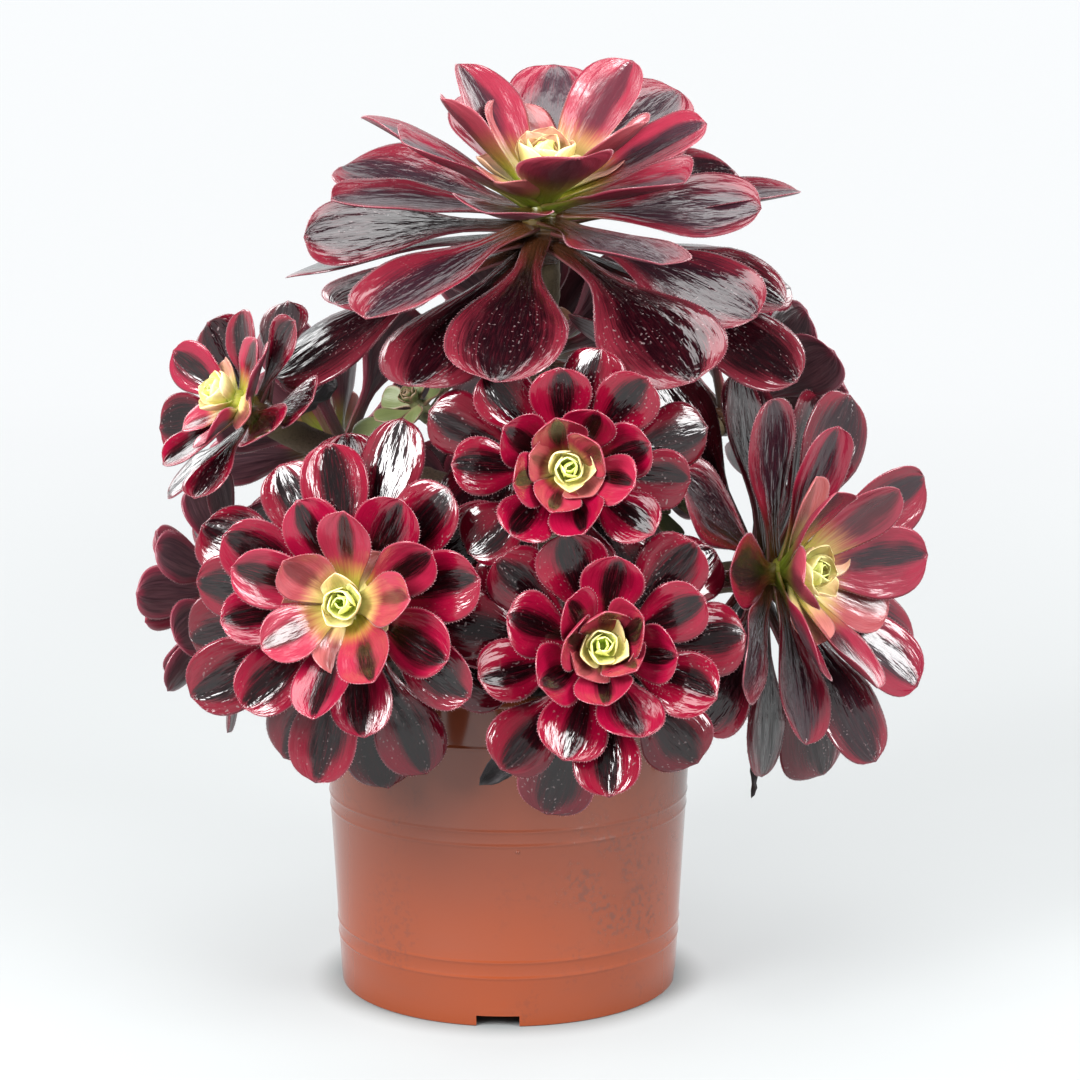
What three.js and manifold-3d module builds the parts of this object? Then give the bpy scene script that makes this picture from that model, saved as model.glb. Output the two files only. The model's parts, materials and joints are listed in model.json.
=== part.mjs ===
// A potted aeonium: a many-headed succulent shrub in a plastic nursery pot.
// A short woody stem stands in potting soil and branches to eleven leaf rosettes. The largest rosette crowns
// the plant and leans towards the viewer (-Y); the others sit round the sides with their faces turned outwards.
// Each rosette is one solid: its leaves are sunk into its own short core, which sits on the end of a branch.
//
// Millimetres, +Z up. The origin is the centre of the pot's base, on the ground.

import * as THREE from "three";
import { mergeVertices } from "three/addons/utils/BufferGeometryUtils.js";
import Module from "manifold-3d";

const wasm = await Module();
wasm.setup();

// ---------------------------------------------------------------- driving dimensions

const GAP = 0.3; // clearance between neighbouring pieces
const GOLDEN = THREE.MathUtils.degToRad(137.508); // turn from one leaf to the next

const POT = {
  height: 150,
  rimRadius: 85,
  baseRadius: 76.8,
  wall: 2.2,
  sides: 24,
  lipHeight: 5,
  lipOut: 2.2,
  ridges: [22.5, 29.7, 83.1, 89.5, 126.8], // heights of the moulded lines round the wall
  ridgeOut: 0.5,
  padRadius: 42, // flat centre of the base, level with the foot
  channelFloor: 6, // underside of the raised drainage channel round the pad
  notches: 4,
  notchWidth: 19,
  notchHeight: 5,
  notchTurn: THREE.MathUtils.degToRad(-93),
  drains: 6,
  drainRadius: 4,
  drainCircle: 58,
};

const SOIL_TOP = 137;
const TRUNK_FOOT = 75; // the cut foot of the stem, deep in the soil
const BRANCH_SIDES = 6;
const CORE_SIDES = 5;
const BUD_LEAVES = 4; // the smallest leaves, folded tight over the tip of the core, which stands for them here

// Rosettes. bud is the tip of the rosette's heart. turn and rise aim its axis: turn is measured round the pot
// from the viewer's side (0 = -Y, 90 = +X), and rise is the angle above the horizon, in degrees. length and width
// are those of the largest leaf; growth is the youngest leaf's share of that length and how fast leaves reach it.
// core and radius are those of the short leafy stem inside. leans holds the angles between axis and leaf root for
// the youngest and the oldest leaf and the pace between them, and bends how much each then curls outwards, in
// degrees. phase turns the whole spiral, seed draws the leaves' small irregularities, and fork is the height on
// the trunk where the rosette's branch leaves it.
const ROSETTES = [
  { name: "rosette_top", bud: [16, -22, 371], turn: 4, rise: 71, leaves: 41, length: 133, width: 50,
    growth: [0.2, 0.54], core: 42, radius: 11, leans: [29, 98, 0.51], bends: [-16, 29], phase: 295, seed: 225 },
  { name: "rosette_front_left", bud: [-66, -125, 199], turn: -10, rise: 12, leaves: 38, length: 82, width: 31,
    growth: [0.24, 0.62], core: 32, radius: 8.5, leans: [19, 91, 0.45], bends: [-14, 31], phase: 125, seed: 520,
    fork: 158 },
  { name: "rosette_front_low", bud: [40, -140, 184], turn: 5, rise: 16, leaves: 30, length: 70, width: 30,
    growth: [0.18, 0.84], core: 30, radius: 8.5, leans: [12, 87, 0.65], bends: [-24, 29], phase: 166, seed: 581,
    fork: 150 },
  { name: "rosette_front_middle", bud: [26, -125, 255], turn: 3, rise: 11, leaves: 27, length: 60, width: 28,
    growth: [0.24, 0.8], core: 28, radius: 8, leans: [14, 83, 0.62], bends: [-21, 24], phase: 232, seed: 404,
    fork: 205 },
  { name: "rosette_right", bud: [131, -50, 198], turn: 48, rise: 10, leaves: 33, length: 99, width: 39,
    growth: [0.23, 0.42], core: 34, radius: 9, leans: [18, 88, 0.52], bends: [-14, 27], phase: 76, seed: 939,
    fork: 165 },
  { name: "rosette_left_upper", bud: [-124, -40, 275], turn: -52, rise: 30, leaves: 17, length: 56, width: 28,
    growth: [0.28, 0.55], core: 28, radius: 8, leans: [26, 84, 0.51], bends: [-14, 14], phase: 316, seed: 819,
    fork: 215 },
  { name: "rosette_left_low", bud: [-140, 20, 176], turn: -105, rise: -4, leaves: 24, length: 68, width: 26,
    growth: [0.25, 0.7], core: 28, radius: 8, leans: [16, 79, 0.6], bends: [-16, 22], phase: 15, seed: 71,
    fork: 162 },
  { name: "rosette_right_back", bud: [118, 60, 262], turn: 122, rise: 26, leaves: 23, length: 84, width: 34,
    growth: [0.25, 0.7], core: 28, radius: 8, leans: [16, 89, 0.6], bends: [-16, 22], phase: 250, seed: 83,
    fork: 210 },
  { name: "rosette_back_low", bud: [8, 136, 186], turn: 176, rise: 12, leaves: 22, length: 84, width: 32,
    growth: [0.25, 0.7], core: 30, radius: 8, leans: [16, 89, 0.6], bends: [-16, 24], phase: 40, seed: 97,
    fork: 152 },
  { name: "rosette_back_left", bud: [-92, 92, 240], turn: -138, rise: 18, leaves: 22, length: 82, width: 32,
    growth: [0.25, 0.7], core: 28, radius: 8, leans: [16, 89, 0.6], bends: [-16, 24], phase: 170, seed: 103,
    fork: 205 },
  { name: "rosette_back_upper", bud: [14, 108, 286], turn: 176, rise: 30, leaves: 21, length: 76, width: 32,
    growth: [0.25, 0.7], core: 28, radius: 8, leans: [16, 85, 0.6], bends: [-16, 22], phase: 290, seed: 113,
    fork: 235 },
];

// Young green side shoots low in the crown, in the shade of the rosettes.
const SHOOTS = [
  { name: "shoot_left", bud: [-42, -52, 276], turn: -40, rise: 40, leaves: 9, length: 32, width: 13,
    growth: [0.4, 0.8], core: 18, radius: 4, leans: [16, 72, 0.6], bends: [-14, 8], phase: 0, seed: 131,
    fork: 222 },
  { name: "shoot_right", bud: [72, -50, 236], turn: 40, rise: 26, leaves: 9, length: 32, width: 13,
    growth: [0.4, 0.8], core: 18, radius: 4, leans: [16, 72, 0.6], bends: [-14, 8], phase: 90, seed: 139,
    fork: 205 },
];

// Withered leaves that still hang on a branch, just behind the rosette named. azimuth is measured round the
// rosette's axis from its upper side, and lean from the axis, in degrees.
const WITHERED = [
  { on: "rosette_front_low", azimuth: 222, lean: 97, length: 72, width: 15, bend: 12, behind: 6 },
  { on: "rosette_right", azimuth: 184, lean: 86, length: 98, width: 14, bend: 10, behind: 6 },
  { on: "rosette_left_upper", azimuth: 62, lean: 92, length: 46, width: 12, bend: -20, behind: 5 },
];

// ---------------------------------------------------------------- solids from three.js geometries

// A closed geometry with shared vertices, holding positions only.
function closed(geometry) {
  geometry.deleteAttribute("normal");
  geometry.deleteAttribute("uv");
  return mergeVertices(geometry, 1e-4);
}

// A manifold solid from a closed geometry, with every vertex moved by place(vertex).
function solid(geometry, place = (v) => v) {
  const from = geometry.attributes.position;
  const vertProperties = new Float32Array(from.count * 3);
  for (let i = 0; i < from.count; i++) {
    place(new THREE.Vector3().fromBufferAttribute(from, i)).toArray(vertProperties, i * 3);
  }
  const mesh = new wasm.Mesh({ numProp: 3, vertProperties, triVerts: new Uint32Array(geometry.index.array) });
  return new wasm.Manifold(mesh);
}

function join(solids) {
  return wasm.Manifold.union(solids);
}

// The part of a solid that holds together best: its largest body.
function largest(whole) {
  return whole.decompose().reduce((a, b) => (a.volume() > b.volume() ? a : b));
}

// The named mesh of a manifold solid.
function meshOf(name, whole, material) {
  const { vertProperties, triVerts, numProp } = whole.getMesh();
  const geometry = new THREE.BufferGeometry();
  const positions = new Float32Array((vertProperties.length / numProp) * 3);
  for (let i = 0; i < positions.length / 3; i++) {
    positions.set(vertProperties.subarray(i * numProp, i * numProp + 3), i * 3);
  }
  geometry.setAttribute("position", new THREE.BufferAttribute(positions, 3));
  geometry.setIndex(new THREE.BufferAttribute(triVerts, 1));
  geometry.computeVertexNormals();
  const mesh = new THREE.Mesh(geometry, material);
  mesh.name = name;
  return mesh;
}

function boxesMeet(a, b) {
  return [0, 1, 2].every((k) => a.min[k] <= b.max[k] && b.min[k] <= a.max[k]);
}

function overlap(a, b) {
  const common = a.intersect(b);
  const empty = common.isEmpty();
  common.delete();
  return !empty;
}

// ---------------------------------------------------------------- the rule for one leaf

// A repeatable number from -1 to 1.
function scatter(n) {
  const x = Math.sin(n * 12.9898 + 4.1414) * 43758.5453;
  return 2 * (x - Math.floor(x)) - 1;
}

function mix(a, b, share) {
  return a + (b - a) * share;
}

// The rosette's own directions: axis, up (the way nearest the sky) and side.
function frameOf(rosette) {
  const turn = THREE.MathUtils.degToRad(rosette.turn);
  const rise = THREE.MathUtils.degToRad(rosette.rise);
  const axis = new THREE.Vector3(
    Math.sin(turn) * Math.cos(rise),
    -Math.cos(turn) * Math.cos(rise),
    Math.sin(rise),
  );
  const side = new THREE.Vector3(0, 0, 1).cross(axis).normalize();
  const up = new THREE.Vector3().crossVectors(axis, side);
  const base = new THREE.Vector3(...rosette.bud).addScaledVector(axis, -rosette.core);
  return { axis, side, up, base };
}

// Leaf number i of a rosette, counted from the heart outwards. age runs from 0 at the heart to 1.
function leafOf(rosette, i) {
  const age = (i + 0.5) / rosette.leaves;
  const vary = (k) => scatter(rosette.seed + i * 7.31 + k * 1.77);
  const [youngLean, oldLean, leanPace] = rosette.leans;
  const [youngShare, lengthPace] = rosette.growth;
  const lean = mix(youngLean, oldLean, age ** leanPace) + 8 * vary(4);
  const bend = mix(rosette.bends[0], rosette.bends[1], age) + 5 * vary(5);
  return {
    age,
    azimuth: THREE.MathUtils.degToRad(rosette.phase) + i * GOLDEN + 0.16 * vary(1),
    length: rosette.length * mix(youngShare, 1, age ** lengthPace) * (1 + 0.09 * vary(2)),
    width: rosette.width * mix(0.4, 1.06, age ** 0.33) * (1 + 0.07 * vary(3)),
    rootHeight: mix(0.86, 0.1, age ** 0.9) * rosette.core,
    rootOut: rosette.radius * 0.35,
    lean: THREE.MathUtils.degToRad(lean),
    bend: THREE.MathUtils.degToRad(bend),
    cup: mix(0.4, -0.12, age) + 0.12 * vary(6),
    twist: 0.4 * vary(7),
    stalk: mix(0.5, 0.17, age ** 0.5), // width at the root, as a share of the full width
    stalkEnd: mix(0, 0.4, age), // where the blade starts to widen
    widest: mix(0.66, 0.8, age), // and where it is widest
    thickness: mix(1.6, 2.4, age),
  };
}

// Half the leaf's width at the share s of its length: a narrow stalk, then a broad blade with a round end.
function halfWidth(leaf, s) {
  if (s < leaf.widest) {
    const x = Math.max(0, (s - leaf.stalkEnd) / (leaf.widest - leaf.stalkEnd));
    return (leaf.width / 2) * mix(leaf.stalk, 1, x * x * (3 - 2 * x));
  }
  const x = (s - leaf.widest) / (1 - leaf.widest);
  return (leaf.width / 2) * Math.max(0, 1 - x ** 2.4) ** 0.45;
}

// A point of the leaf: s runs along it, t across it from -1 to 1, and lift along the leaf's upward normal, in mm.
// The midrib is an arc that leaves the axis at the angle lean and turns by bend.
function leafPoint(frame, leaf, s, t, lift) {
  const out = new THREE.Vector3()
    .addScaledVector(frame.up, Math.cos(leaf.azimuth))
    .addScaledVector(frame.side, Math.sin(leaf.azimuth));
  const bend = Math.abs(leaf.bend) < 1e-3 ? 1e-3 : leaf.bend;
  const angle = leaf.lean + bend * s;
  const reach = (leaf.length * (Math.cos(leaf.lean) - Math.cos(angle))) / bend;
  const climb = (leaf.length * (Math.sin(angle) - Math.sin(leaf.lean))) / bend;
  const across = new THREE.Vector3().crossVectors(out, frame.axis);
  const normal = new THREE.Vector3()
    .addScaledVector(frame.axis, Math.sin(angle))
    .addScaledVector(out, -Math.cos(angle));
  const roll = leaf.twist * s;
  const sideways = across.clone().multiplyScalar(Math.cos(roll)).addScaledVector(normal, Math.sin(roll));
  const upwards = normal.clone().multiplyScalar(Math.cos(roll)).addScaledVector(across, -Math.sin(roll));
  const half = halfWidth(leaf, s);
  return frame.base
    .clone()
    .addScaledVector(frame.axis, leaf.rootHeight + climb)
    .addScaledVector(out, leaf.rootOut + reach)
    .addScaledVector(sideways, half * t)
    .addScaledVector(upwards, leaf.cup * half * t * t + lift);
}

// Leaves are four-sided spindles: upper and lower midline and two margins. Old leaves get more stations.
const OLD_STATIONS = [0, 0.4, 0.68, 0.91, 1];
const YOUNG_STATIONS = [0, 0.6, 0.9, 1];
const OLD_SPINDLE = closed(new THREE.CylinderGeometry(0, 1, 1, 4, OLD_STATIONS.length - 1));
const YOUNG_SPINDLE = closed(new THREE.CylinderGeometry(0, 1, 1, 4, YOUNG_STATIONS.length - 1));
const CLEARANCE_SPINDLE = closed(new THREE.CylinderGeometry(0, 1, 1, 6, OLD_STATIONS.length - 1));
const YOUNG_AGE = 0.65;

// Where a spindle's vertex, whose y runs from -0.5 to 0.5, lies on a leaf: its station along the leaf,
// the margin it is on (-1 or 1, 0 on the midline) and its face (1 above, -1 below, 0 on a margin).
function placeOn(vertex, stations) {
  const sign = (x) => (Math.abs(x) < 1e-6 ? 0 : Math.sign(x));
  return {
    s: stations[Math.round((vertex.y + 0.5) * (stations.length - 1))],
    margin: sign(vertex.x),
    face: sign(vertex.z),
  };
}

// Half the blade's thickness on the midline.
function halfThickness(leaf, s) {
  return leaf.thickness * mix(0.6, 0.4, s);
}

function leafSolid(frame, leaf) {
  const young = leaf.age < YOUNG_AGE;
  const stations = young ? YOUNG_STATIONS : OLD_STATIONS;
  return solid(young ? YOUNG_SPINDLE : OLD_SPINDLE, (v) => {
    const { s, margin, face } = placeOn(v, stations);
    return leafPoint(frame, leaf, s, margin, face * halfThickness(leaf, s));
  });
}

// The space that a leaf needs: the same blade, with a gap all round.
function leafClearance(frame, leaf) {
  const wide = { ...leaf, width: leaf.width + 3 * GAP, length: leaf.length + 2 * GAP };
  return solid(CLEARANCE_SPINDLE, (v) => {
    const { s, margin, face } = placeOn(v, OLD_STATIONS);
    const lift = margin === 0 ? halfThickness(leaf, s) + 1.5 * GAP : 1.5 * GAP;
    return leafPoint(frame, wide, s, margin, s === 1 ? 0 : face * lift);
  });
}

// ---------------------------------------------------------------- stem, cores and branches

// A round bar along a curve; radiusAt(share) gives its radius.
function bar(curve, radiusAt, steps, sides) {
  const unit = closed(new THREE.CylinderGeometry(1, 1, 1, sides, steps));
  const frames = curve.computeFrenetFrames(steps, false);
  return solid(unit, (v) => {
    const share = v.y + 0.5;
    const step = Math.round(share * steps);
    const radius = radiusAt(share);
    return curve
      .getPointAt(share)
      .addScaledVector(frames.normals[step], v.x * radius)
      .addScaledVector(frames.binormals[step], -v.z * radius);
  });
}

function branchEnd(rosette) {
  const frame = frameOf(rosette);
  return frame.base.clone().addScaledVector(frame.axis, -GAP);
}

const topFrame = frameOf(ROSETTES[0]);
const trunkCurve = new THREE.CatmullRomCurve3([
  new THREE.Vector3(0, 6, TRUNK_FOOT),
  new THREE.Vector3(-2, 8, 150),
  new THREE.Vector3(3, 10, 215),
  new THREE.Vector3(8, 8, 275),
  branchEnd(ROSETTES[0]).addScaledVector(topFrame.axis, -22),
  branchEnd(ROSETTES[0]),
]);

// The point of the trunk's midline at a height.
function trunkAt(height) {
  const points = trunkCurve.getSpacedPoints(100);
  return points.reduce((a, b) => (Math.abs(a.z - height) < Math.abs(b.z - height) ? a : b)).clone();
}

function trunkSolid() {
  return bar(trunkCurve, (share) => mix(12, 8.5, share), 8, BRANCH_SIDES);
}

function branchSolid(rosette) {
  const frame = frameOf(rosette);
  const start = trunkAt(rosette.fork);
  const end = branchEnd(rosette);
  const reach = start.distanceTo(end);
  const outwards = new THREE.Vector3(end.x - start.x, end.y - start.y, 0).normalize();
  const curve = new THREE.CubicBezierCurve3(
    start,
    start.clone().addScaledVector(outwards, reach * 0.3).add(new THREE.Vector3(0, 0, reach * 0.12)),
    end.clone().addScaledVector(frame.axis, -reach * 0.35),
    end,
  );
  return bar(curve, (share) => mix(rosette.radius * 0.95, rosette.radius * 0.8, share), 4, BRANCH_SIDES);
}

// A withered leaf: narrow, thin and folded, its root sunk in the branch.
function witheredSolid({ on, azimuth, lean, length, width, bend, behind }) {
  const rosette = ROSETTES.find(({ name }) => name === on);
  return leafSolid(frameOf(rosette), {
    age: 1,
    azimuth: THREE.MathUtils.degToRad(azimuth),
    length,
    width,
    rootHeight: -behind,
    rootOut: 0,
    lean: THREE.MathUtils.degToRad(lean),
    bend: THREE.MathUtils.degToRad(bend),
    cup: 0.6,
    twist: 0.8,
    stalk: 0.35,
    stalkEnd: 0.2,
    widest: 0.7,
    thickness: 1.8,
  });
}

// The short leafy stem inside a rosette, closing to a blunt point at the bud.
function coreSolid(rosette) {
  const frame = frameOf(rosette);
  const profile = [0.9, 1, 0.45];
  const heights = [0, 0.3, 1];
  const unit = closed(new THREE.CylinderGeometry(1, 1, 1, CORE_SIDES, profile.length - 1));
  return solid(unit, (v) => {
    const step = Math.round((v.y + 0.5) * (profile.length - 1));
    return frame.base
      .clone()
      .addScaledVector(frame.axis, heights[step] * rosette.core)
      .addScaledVector(frame.side, v.x * profile[step] * rosette.radius)
      .addScaledVector(frame.up, -v.z * profile[step] * rosette.radius);
  });
}

// ---------------------------------------------------------------- pot and soil

function lathe(points, sides) {
  const profile = points.map(([radius, height]) => new THREE.Vector2(radius, height));
  const geometry = closed(new THREE.LatheGeometry(profile, sides));
  const upright = solid(geometry, (v) => new THREE.Vector3(v.x, -v.z, v.y));
  return upright;
}

// Outer radius of the plain tapered wall at a height.
function wallRadius(height) {
  return mix(POT.baseRadius, POT.rimRadius, height / POT.height);
}

function potSolid() {
  const innerFloor = POT.channelFloor + POT.wall;
  const lip = POT.height - POT.lipHeight;
  const ridgePoints = POT.ridges.flatMap((height) => [
    [wallRadius(height - 0.6), height - 0.6],
    [wallRadius(height) + POT.ridgeOut, height],
    [wallRadius(height + 0.6), height + 0.6],
  ]);
  const body = lathe(
    [
      [0, 0],
      [POT.padRadius, 0],
      [POT.padRadius + 5, POT.channelFloor],
      [POT.baseRadius - POT.wall, POT.channelFloor],
      [POT.baseRadius - POT.wall, 0],
      [POT.baseRadius, 0],
      ...ridgePoints,
      [wallRadius(lip), lip],
      [wallRadius(lip) + POT.lipOut, lip + 0.8],
      [POT.rimRadius + POT.lipOut, POT.height - 1],
      [POT.rimRadius + POT.lipOut - 1.2, POT.height],
      [POT.rimRadius - POT.wall, POT.height],
      [POT.baseRadius - POT.wall, innerFloor],
      [POT.padRadius + 5 - POT.wall / 2, innerFloor],
      [POT.padRadius - POT.wall / 2, POT.wall],
      [0, POT.wall],
    ],
    POT.sides,
  );
  const cuts = [];
  for (let i = 0; i < POT.notches; i++) {
    const angle = POT.notchTurn + (i * 2 * Math.PI) / POT.notches;
    const notch = closed(new THREE.BoxGeometry(20, POT.notchWidth, 2 * POT.notchHeight));
    cuts.push(
      solid(notch, (v) =>
        v.add(new THREE.Vector3(POT.baseRadius, 0, 0)).applyAxisAngle(new THREE.Vector3(0, 0, 1), angle),
      ),
    );
  }
  for (let i = 0; i < POT.drains; i++) {
    const angle = ((i + 0.5) * 2 * Math.PI) / POT.drains;
    const drain = closed(new THREE.CylinderGeometry(POT.drainRadius, POT.drainRadius, 8, 8));
    cuts.push(
      solid(
        drain,
        (v) =>
          new THREE.Vector3(
            POT.drainCircle * Math.cos(angle) + v.x,
            POT.drainCircle * Math.sin(angle) - v.z,
            POT.channelFloor + POT.wall / 2 + v.y,
          ),
      ),
    );
  }
  return body.subtract(join(cuts));
}

// Potting soil that fills the pot and rises a little round the stem, with a plain hole for it.
function soilSolid() {
  const innerFloor = POT.channelFloor + POT.wall;
  const top = wallRadius(SOIL_TOP) - POT.wall - 2 * GAP;
  const bottom = wallRadius(innerFloor) - POT.wall - 3 * GAP;
  const heap = lathe(
    [
      [0, POT.wall + GAP],
      [POT.padRadius - 2, POT.wall + GAP],
      [POT.padRadius + 3, innerFloor + GAP],
      [bottom, innerFloor + GAP],
      [top, SOIL_TOP - 3],
      [top * 0.6, SOIL_TOP],
      [0, SOIL_TOP + 3],
    ],
    POT.sides,
  );
  const hole = bar(trunkCurve, (share) => mix(12, 8.5, share) + GAP, 8, BRANCH_SIDES);
  const foot = trunkAt(TRUNK_FOOT);
  const below = closed(new THREE.CylinderGeometry(12 + GAP, 12 + GAP, 4, BRANCH_SIDES));
  const relief = solid(below, (v) => new THREE.Vector3(foot.x + v.x, foot.y - v.z, foot.z - 1 + v.y));
  return heap.subtract(join([hole, relief]));
}

// ---------------------------------------------------------------- leaves that keep clear of each other

// Ways to move a leaf that would touch a neighbour: nearer to or further from the axis, round it, and shorter.
const MOVES = [];
for (const scale of [1, 0.86, 0.72]) {
  for (const lean of [0, -6, 6, -12, 12, -19, 19, -27, -36]) {
    for (const turn of [0, 9, -9]) {
      MOVES.push({ scale, lean: THREE.MathUtils.degToRad(lean), turn: THREE.MathUtils.degToRad(turn) });
    }
  }
}

function moved(leaf, move) {
  return {
    ...leaf,
    length: leaf.length * move.scale,
    lean: leaf.lean + move.lean,
    azimuth: leaf.azimuth + move.turn,
  };
}

// The leaves of a rosette, each in the first place where it touches nothing of the other pieces.
// taken is the list of what is placed so far, each { owner, body, box }.
function placeLeaves(rosette, taken) {
  const frame = frameOf(rosette);
  const placed = [];
  for (let i = BUD_LEAVES; i < rosette.leaves; i++) {
    for (const move of MOVES) {
      const leaf = moved(leafOf(rosette, i), move);
      const space = leafClearance(frame, leaf);
      const box = space.boundingBox();
      const near = taken.filter((other) => other.owner !== rosette.name && boxesMeet(box, other.box));
      const free = !near.some((other) => overlap(space, other.body));
      space.delete();
      if (free) {
        placed.push(leafSolid(frame, leaf));
        break;
      }
    }
  }
  return placed;
}

function takenBy(owner, body) {
  return { owner, body, box: body.boundingBox() };
}

// ---------------------------------------------------------------- materials

function finish(color, roughness) {
  return new THREE.MeshStandardMaterial({ color, roughness, metalness: 0 });
}

const potPlastic = finish(0xa8573c, 0.35);
const soilMix = finish(0x2e211a, 0.95);
const bark = finish(0x5a4636, 0.8);
const leafRed = finish(0x6e0f2a, 0.3);
const leafGreen = finish(0x6f7a4a, 0.45);

// ---------------------------------------------------------------- the plant in its pot

const pot = potSolid();
const soil = soilSolid();
const heads = [...ROSETTES, ...SHOOTS];
const stem = join([trunkSolid(), ...heads.slice(1).map(branchSolid), ...WITHERED.map(witheredSolid)]);
const cores = new Map(heads.map((rosette) => [rosette.name, coreSolid(rosette)]));

const taken = [takenBy("pot", pot), takenBy("soil", soil), takenBy("stem", stem)];
for (const [name, core] of cores) taken.push(takenBy(name, core));

const plant = new THREE.Group();
plant.add(meshOf("pot", pot, potPlastic));
plant.add(meshOf("soil", soil, soilMix));
plant.add(meshOf("stem", stem, bark));
for (const rosette of heads) {
  const leaves = placeLeaves(rosette, taken);
  for (const leaf of leaves) taken.push(takenBy(rosette.name, leaf));
  const whole = largest(join([cores.get(rosette.name), ...leaves]).simplify(0.4));
  plant.add(meshOf(rosette.name, whole, SHOOTS.includes(rosette) ? leafGreen : leafRed));
}

export default plant;
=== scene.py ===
"""Looks of the potted aeonium: fine leaves, hairs, stems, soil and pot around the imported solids.

The script works in millimetres, with the origin at the centre of the pot's base, +Z up and the viewer at -Y,
and turns lengths into metres only where a mesh, a light or the camera is made. Every rosette follows the rule
that the solids follow, so each fine leaf lies on its solid one.
"""

import json
import math
from types import SimpleNamespace

import bpy
import numpy as np
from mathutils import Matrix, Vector, kdtree, noise

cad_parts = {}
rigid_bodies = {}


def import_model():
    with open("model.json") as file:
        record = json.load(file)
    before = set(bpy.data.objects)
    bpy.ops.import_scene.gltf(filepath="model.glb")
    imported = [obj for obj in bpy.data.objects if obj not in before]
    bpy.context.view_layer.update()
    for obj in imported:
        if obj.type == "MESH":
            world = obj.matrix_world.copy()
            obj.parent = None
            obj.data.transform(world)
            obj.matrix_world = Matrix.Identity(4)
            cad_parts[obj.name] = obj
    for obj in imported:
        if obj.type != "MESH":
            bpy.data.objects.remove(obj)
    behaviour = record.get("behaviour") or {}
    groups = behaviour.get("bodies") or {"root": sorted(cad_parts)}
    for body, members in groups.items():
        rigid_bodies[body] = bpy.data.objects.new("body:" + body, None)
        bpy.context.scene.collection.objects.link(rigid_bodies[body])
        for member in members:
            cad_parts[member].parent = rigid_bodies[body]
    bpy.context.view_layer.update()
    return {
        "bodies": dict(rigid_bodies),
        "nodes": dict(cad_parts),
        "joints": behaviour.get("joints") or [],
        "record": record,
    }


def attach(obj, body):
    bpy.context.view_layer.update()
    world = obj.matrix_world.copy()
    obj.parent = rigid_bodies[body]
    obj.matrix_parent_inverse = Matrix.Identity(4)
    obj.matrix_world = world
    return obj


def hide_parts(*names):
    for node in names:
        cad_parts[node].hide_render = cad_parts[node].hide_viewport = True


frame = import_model()

MM = 0.001
GOLDEN = math.radians(137.508)  # turn from one leaf to the next

# ---------------------------------------------------------------- driving dimensions

POT = SimpleNamespace(
    height=150, rim_radius=85, base_radius=76.8, wall=2.2, lip_height=5, lip_out=2.2,
    ridges=(22.5, 29.7, 83.1, 89.5, 126.8), ridge_out=0.36, pad_radius=42, channel_floor=6,
    notches=4, notch_width=19, notch_height=5, notch_turn=math.radians(-93),
    gate_turn=math.radians(-86.6), gate_height=80.6, gate_radius=0.8,
    drains=6, drain_radius=4, drain_circle=58, sides=144,
)
SOIL_TOP = 137
TRUNK_POINTS = ((0, 6, 75), (-2, 8, 150), (3, 10, 215), (8, 8, 275))  # midline of the trunk, from its foot
TRUNK_RADII = (12, 8.5)

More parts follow.
